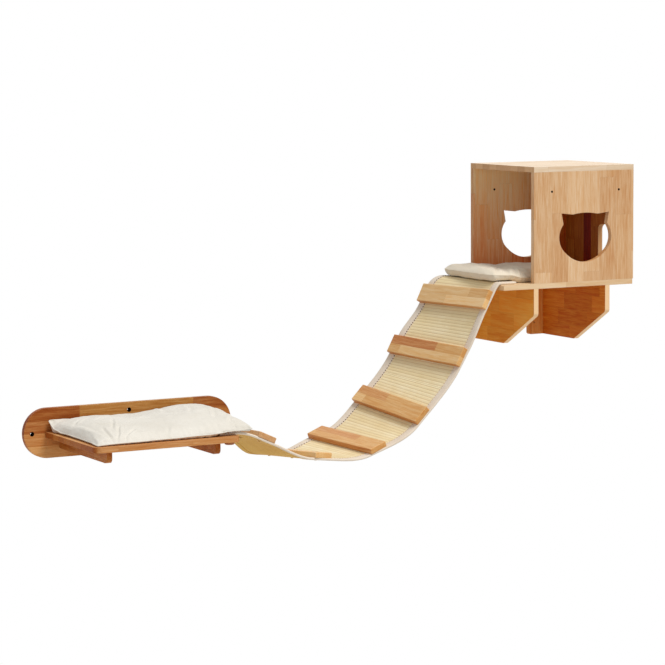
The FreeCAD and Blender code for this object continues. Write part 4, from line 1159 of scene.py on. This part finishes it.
# Shelf cushion: low at its front seam, high towards the wall. It rests on the board, and its right end
# on the belt.
SHELF_STEP = ((0.460, 0.0044), (0.490, 0.0154))
SHELF_SIZE = (0.54, 0.39)
SHELF_LEFT_RISE, SHELF_RIGHT_RISE = 0.11, 0.075
SHELF_TOPS = ((0.05, 0.049), (0.09, 0.050), (0.14, 0.053), (0.19, 0.057), (0.26, 0.052), (0.33, 0.053),
              (0.40, 0.062), (0.47, 0.070), (0.545, 0.072), (0.58, 0.064), (0.61, 0.056))
SHELF_ARCH = ((0.0, 0.0), (0.03, 0.24), (0.08, 0.42), (0.17, 0.62), (0.3, 0.82), (0.45, 0.96), (0.58, 1.0),
              (0.74, 0.95), (0.88, 0.86), (0.96, 0.76), (1.0, 0.66))
SHELF_FRONT_SEAM = ((0.05, 0.008), (0.3, 0.011), (0.45, 0.013), (0.56, 0.018), (0.60, 0.026))
SHELF_WALL_SEAM = ((0.05, 0.052), (0.12, 0.046), (0.3, 0.040), (0.5, 0.046), (0.61, 0.046))
SHELF_SIDE_SEAM = ((0.0, 0.0), (0.80, 0.05), (0.93, 0.22), (1.0, 1.0))
SHELF_RIGHT_SEAM = ((0.0, 0.0), (0.3, 0.25), (0.7, 0.7), (1.0, 1.0))
# Folds in the top: from one place in plan to another, half width and depth.
SHELF_FOLDS = (
    ((0.098, -0.400), (0.072, -0.130), 0.010, -0.0035), ((0.112, -0.408), (0.124, -0.300), 0.006, 0.0040),
    ((0.128, -0.412), (0.175, -0.315), 0.005, 0.0040), ((0.150, -0.412), (0.215, -0.345), 0.005, 0.0034),
    ((0.175, -0.300), (0.120, -0.240), 0.007, 0.0030), ((0.140, -0.200), (0.210, -0.150), 0.007, 0.0030),
    ((0.150, -0.330), (0.190, -0.230), 0.006, 0.0030),
    ((0.085, -0.160), (0.150, -0.110), 0.008, 0.0030), ((0.110, -0.050), (0.190, -0.090), 0.009, 0.0024),
    ((0.300, -0.410), (0.330, -0.350), 0.007, 0.0020), ((0.430, -0.060), (0.390, -0.190), 0.010, 0.0030),
    ((0.500, -0.110), (0.450, -0.260), 0.009, 0.0034), ((0.545, -0.200), (0.500, -0.330), 0.008, 0.0030),
    ((0.575, -0.300), (0.520, -0.390), 0.007, 0.0026), ((0.280, -0.220), (0.350, -0.250), 0.012, 0.0018),
)


def shelf_outline(a, b):
    """Plan of the shelf cushion."""
    bow = math.sin(math.pi * b)
    return plan(a, b, 0.050 + 0.009 * bow - 0.002 * b, 0.600 - 0.004 * bow + 0.004 * b, -0.419, -0.027)


def shelf_seam(a, b, x, y):
    """The seam's height round the edge."""
    front = between(SHELF_FRONT_SEAM, x)
    climb = between(SHELF_SIDE_SEAM, b) * (1 - a) + between(SHELF_RIGHT_SEAM, b) * a
    return front + (between(SHELF_WALL_SEAM, x) - front) * climb


def shelf_top(a, b, x, y):
    """The upper sheet."""
    low = shelf_seam(a, 0.0, x, y)
    arch = low + (between(SHELF_TOPS, x) - low) * between(SHELF_ARCH, b)
    left = a < 0.5
    edge = min(shelf_seam(0.0 if left else 1.0, b, x, y), arch)
    reach = SHELF_LEFT_RISE if left else SHELF_RIGHT_RISE
    return edge + (arch - edge) * rise(min(a, 1 - a) * SHELF_SIZE[0], reach)


def shelf_depth(place, normal):
    """Soft dents in the top, its folds, and short gathers that run in from the seam."""
    x, y, z = place
    soft = fuzz(x * 9, y * 13, 4.0)
    mid = fuzz(x * 26 + y * 14, y * 22, 1.0)
    fine = fuzz(x * 70, y * 60, z * 60)
    dents = 0.0026 * soft + 0.0018 * mid + fold(place, SHELF_FOLDS)
    return dents * max(0.0, normal.z) + 0.0005 * fine + 0.0007 * gathers(x, y, 230, 0, 0.42, 0.05)


cushion("shelf", shelf_outline, shelf_top, shelf_seam, shelf_depth, SHELF_STEP, SHELF_SIZE, 0.02, (60, 44),
        ((218, 212, 199), (229, 224, 213), (238, 234, 225)))

# House cushion: an even pillow. Its left end rests on the belt and the rest on the base board.
HOUSE_STEP = ((1.5954, 0.4464), (1.6254, 0.4354))
HOUSE_SIZE = (0.45, 0.33)
HOUSE_SEAM = 0.018
HOUSE_CROWN = ((1.51, 0.478), (1.55, 0.482), (1.60, 0.478), (1.645, 0.470), (1.69, 0.477), (1.74, 0.474),
               (1.96, 0.464))
HOUSE_FOLDS = (
    ((1.540, -0.360), (1.600, -0.250), 0.007, 0.0034), ((1.575, -0.366), (1.620, -0.290), 0.006, 0.0030),
    ((1.610, -0.368), (1.640, -0.300), 0.006, 0.0026), ((1.520, -0.300), (1.590, -0.240), 0.008, 0.0026),
    ((1.530, -0.070), (1.600, -0.120), 0.009, 0.0030), ((1.650, -0.360), (1.640, -0.200), 0.012, 0.0036),
)


def house_outline(a, b):
    """Plan of the house cushion."""
    left = 1.497 + 0.017 * abs(2 * b - 1) ** 5
    return plan(a, b, left, 1.966 - 0.008 * math.sin(math.pi * b), -0.371, -0.037)


def house_seam(a, b, x, y):
    """The seam's height round the edge, a little higher at the left end."""
    return between(HOUSE_STEP, x) + HOUSE_SEAM + 0.004 * max(0.0, 1 - a * 5)


def house_top(a, b, x, y):
    """The upper sheet."""
    edge = house_seam(a, b, x, y)
    crown = between(HOUSE_CROWN, x + 0.14 * (0.5 - b))
    long = swell(a, HOUSE_SIZE[0], 0.024, 0.05)
    deep = swell(b, HOUSE_SIZE[1], 0.070, 0.045)
    return edge + (crown - edge) * long * deep


def house_depth(place, normal):
    """Soft dents, folds, and the gathers along the front seam."""
    x, y, z = place
    soft = fuzz(x * 12, y * 12, 9.0)
    mid = fuzz(x * 30, y * 26 + z * 30, 2.0)
    fine = fuzz(x * 70, y * 60, z * 60)
    front = gathers(x, y, 260, 2, 0.37, 0.035)
    creases = fold(place, HOUSE_FOLDS) * max(0.0, normal.z)
    return 0.0024 * soft + 0.0014 * mid + 0.0004 * fine + 0.0008 * front + creases


cushion("house", house_outline, house_top, house_seam, house_depth, HOUSE_STEP, HOUSE_SIZE, 0.025, (56, 42),
        ((224, 210, 186), (236, 224, 202), (244, 234, 214)))
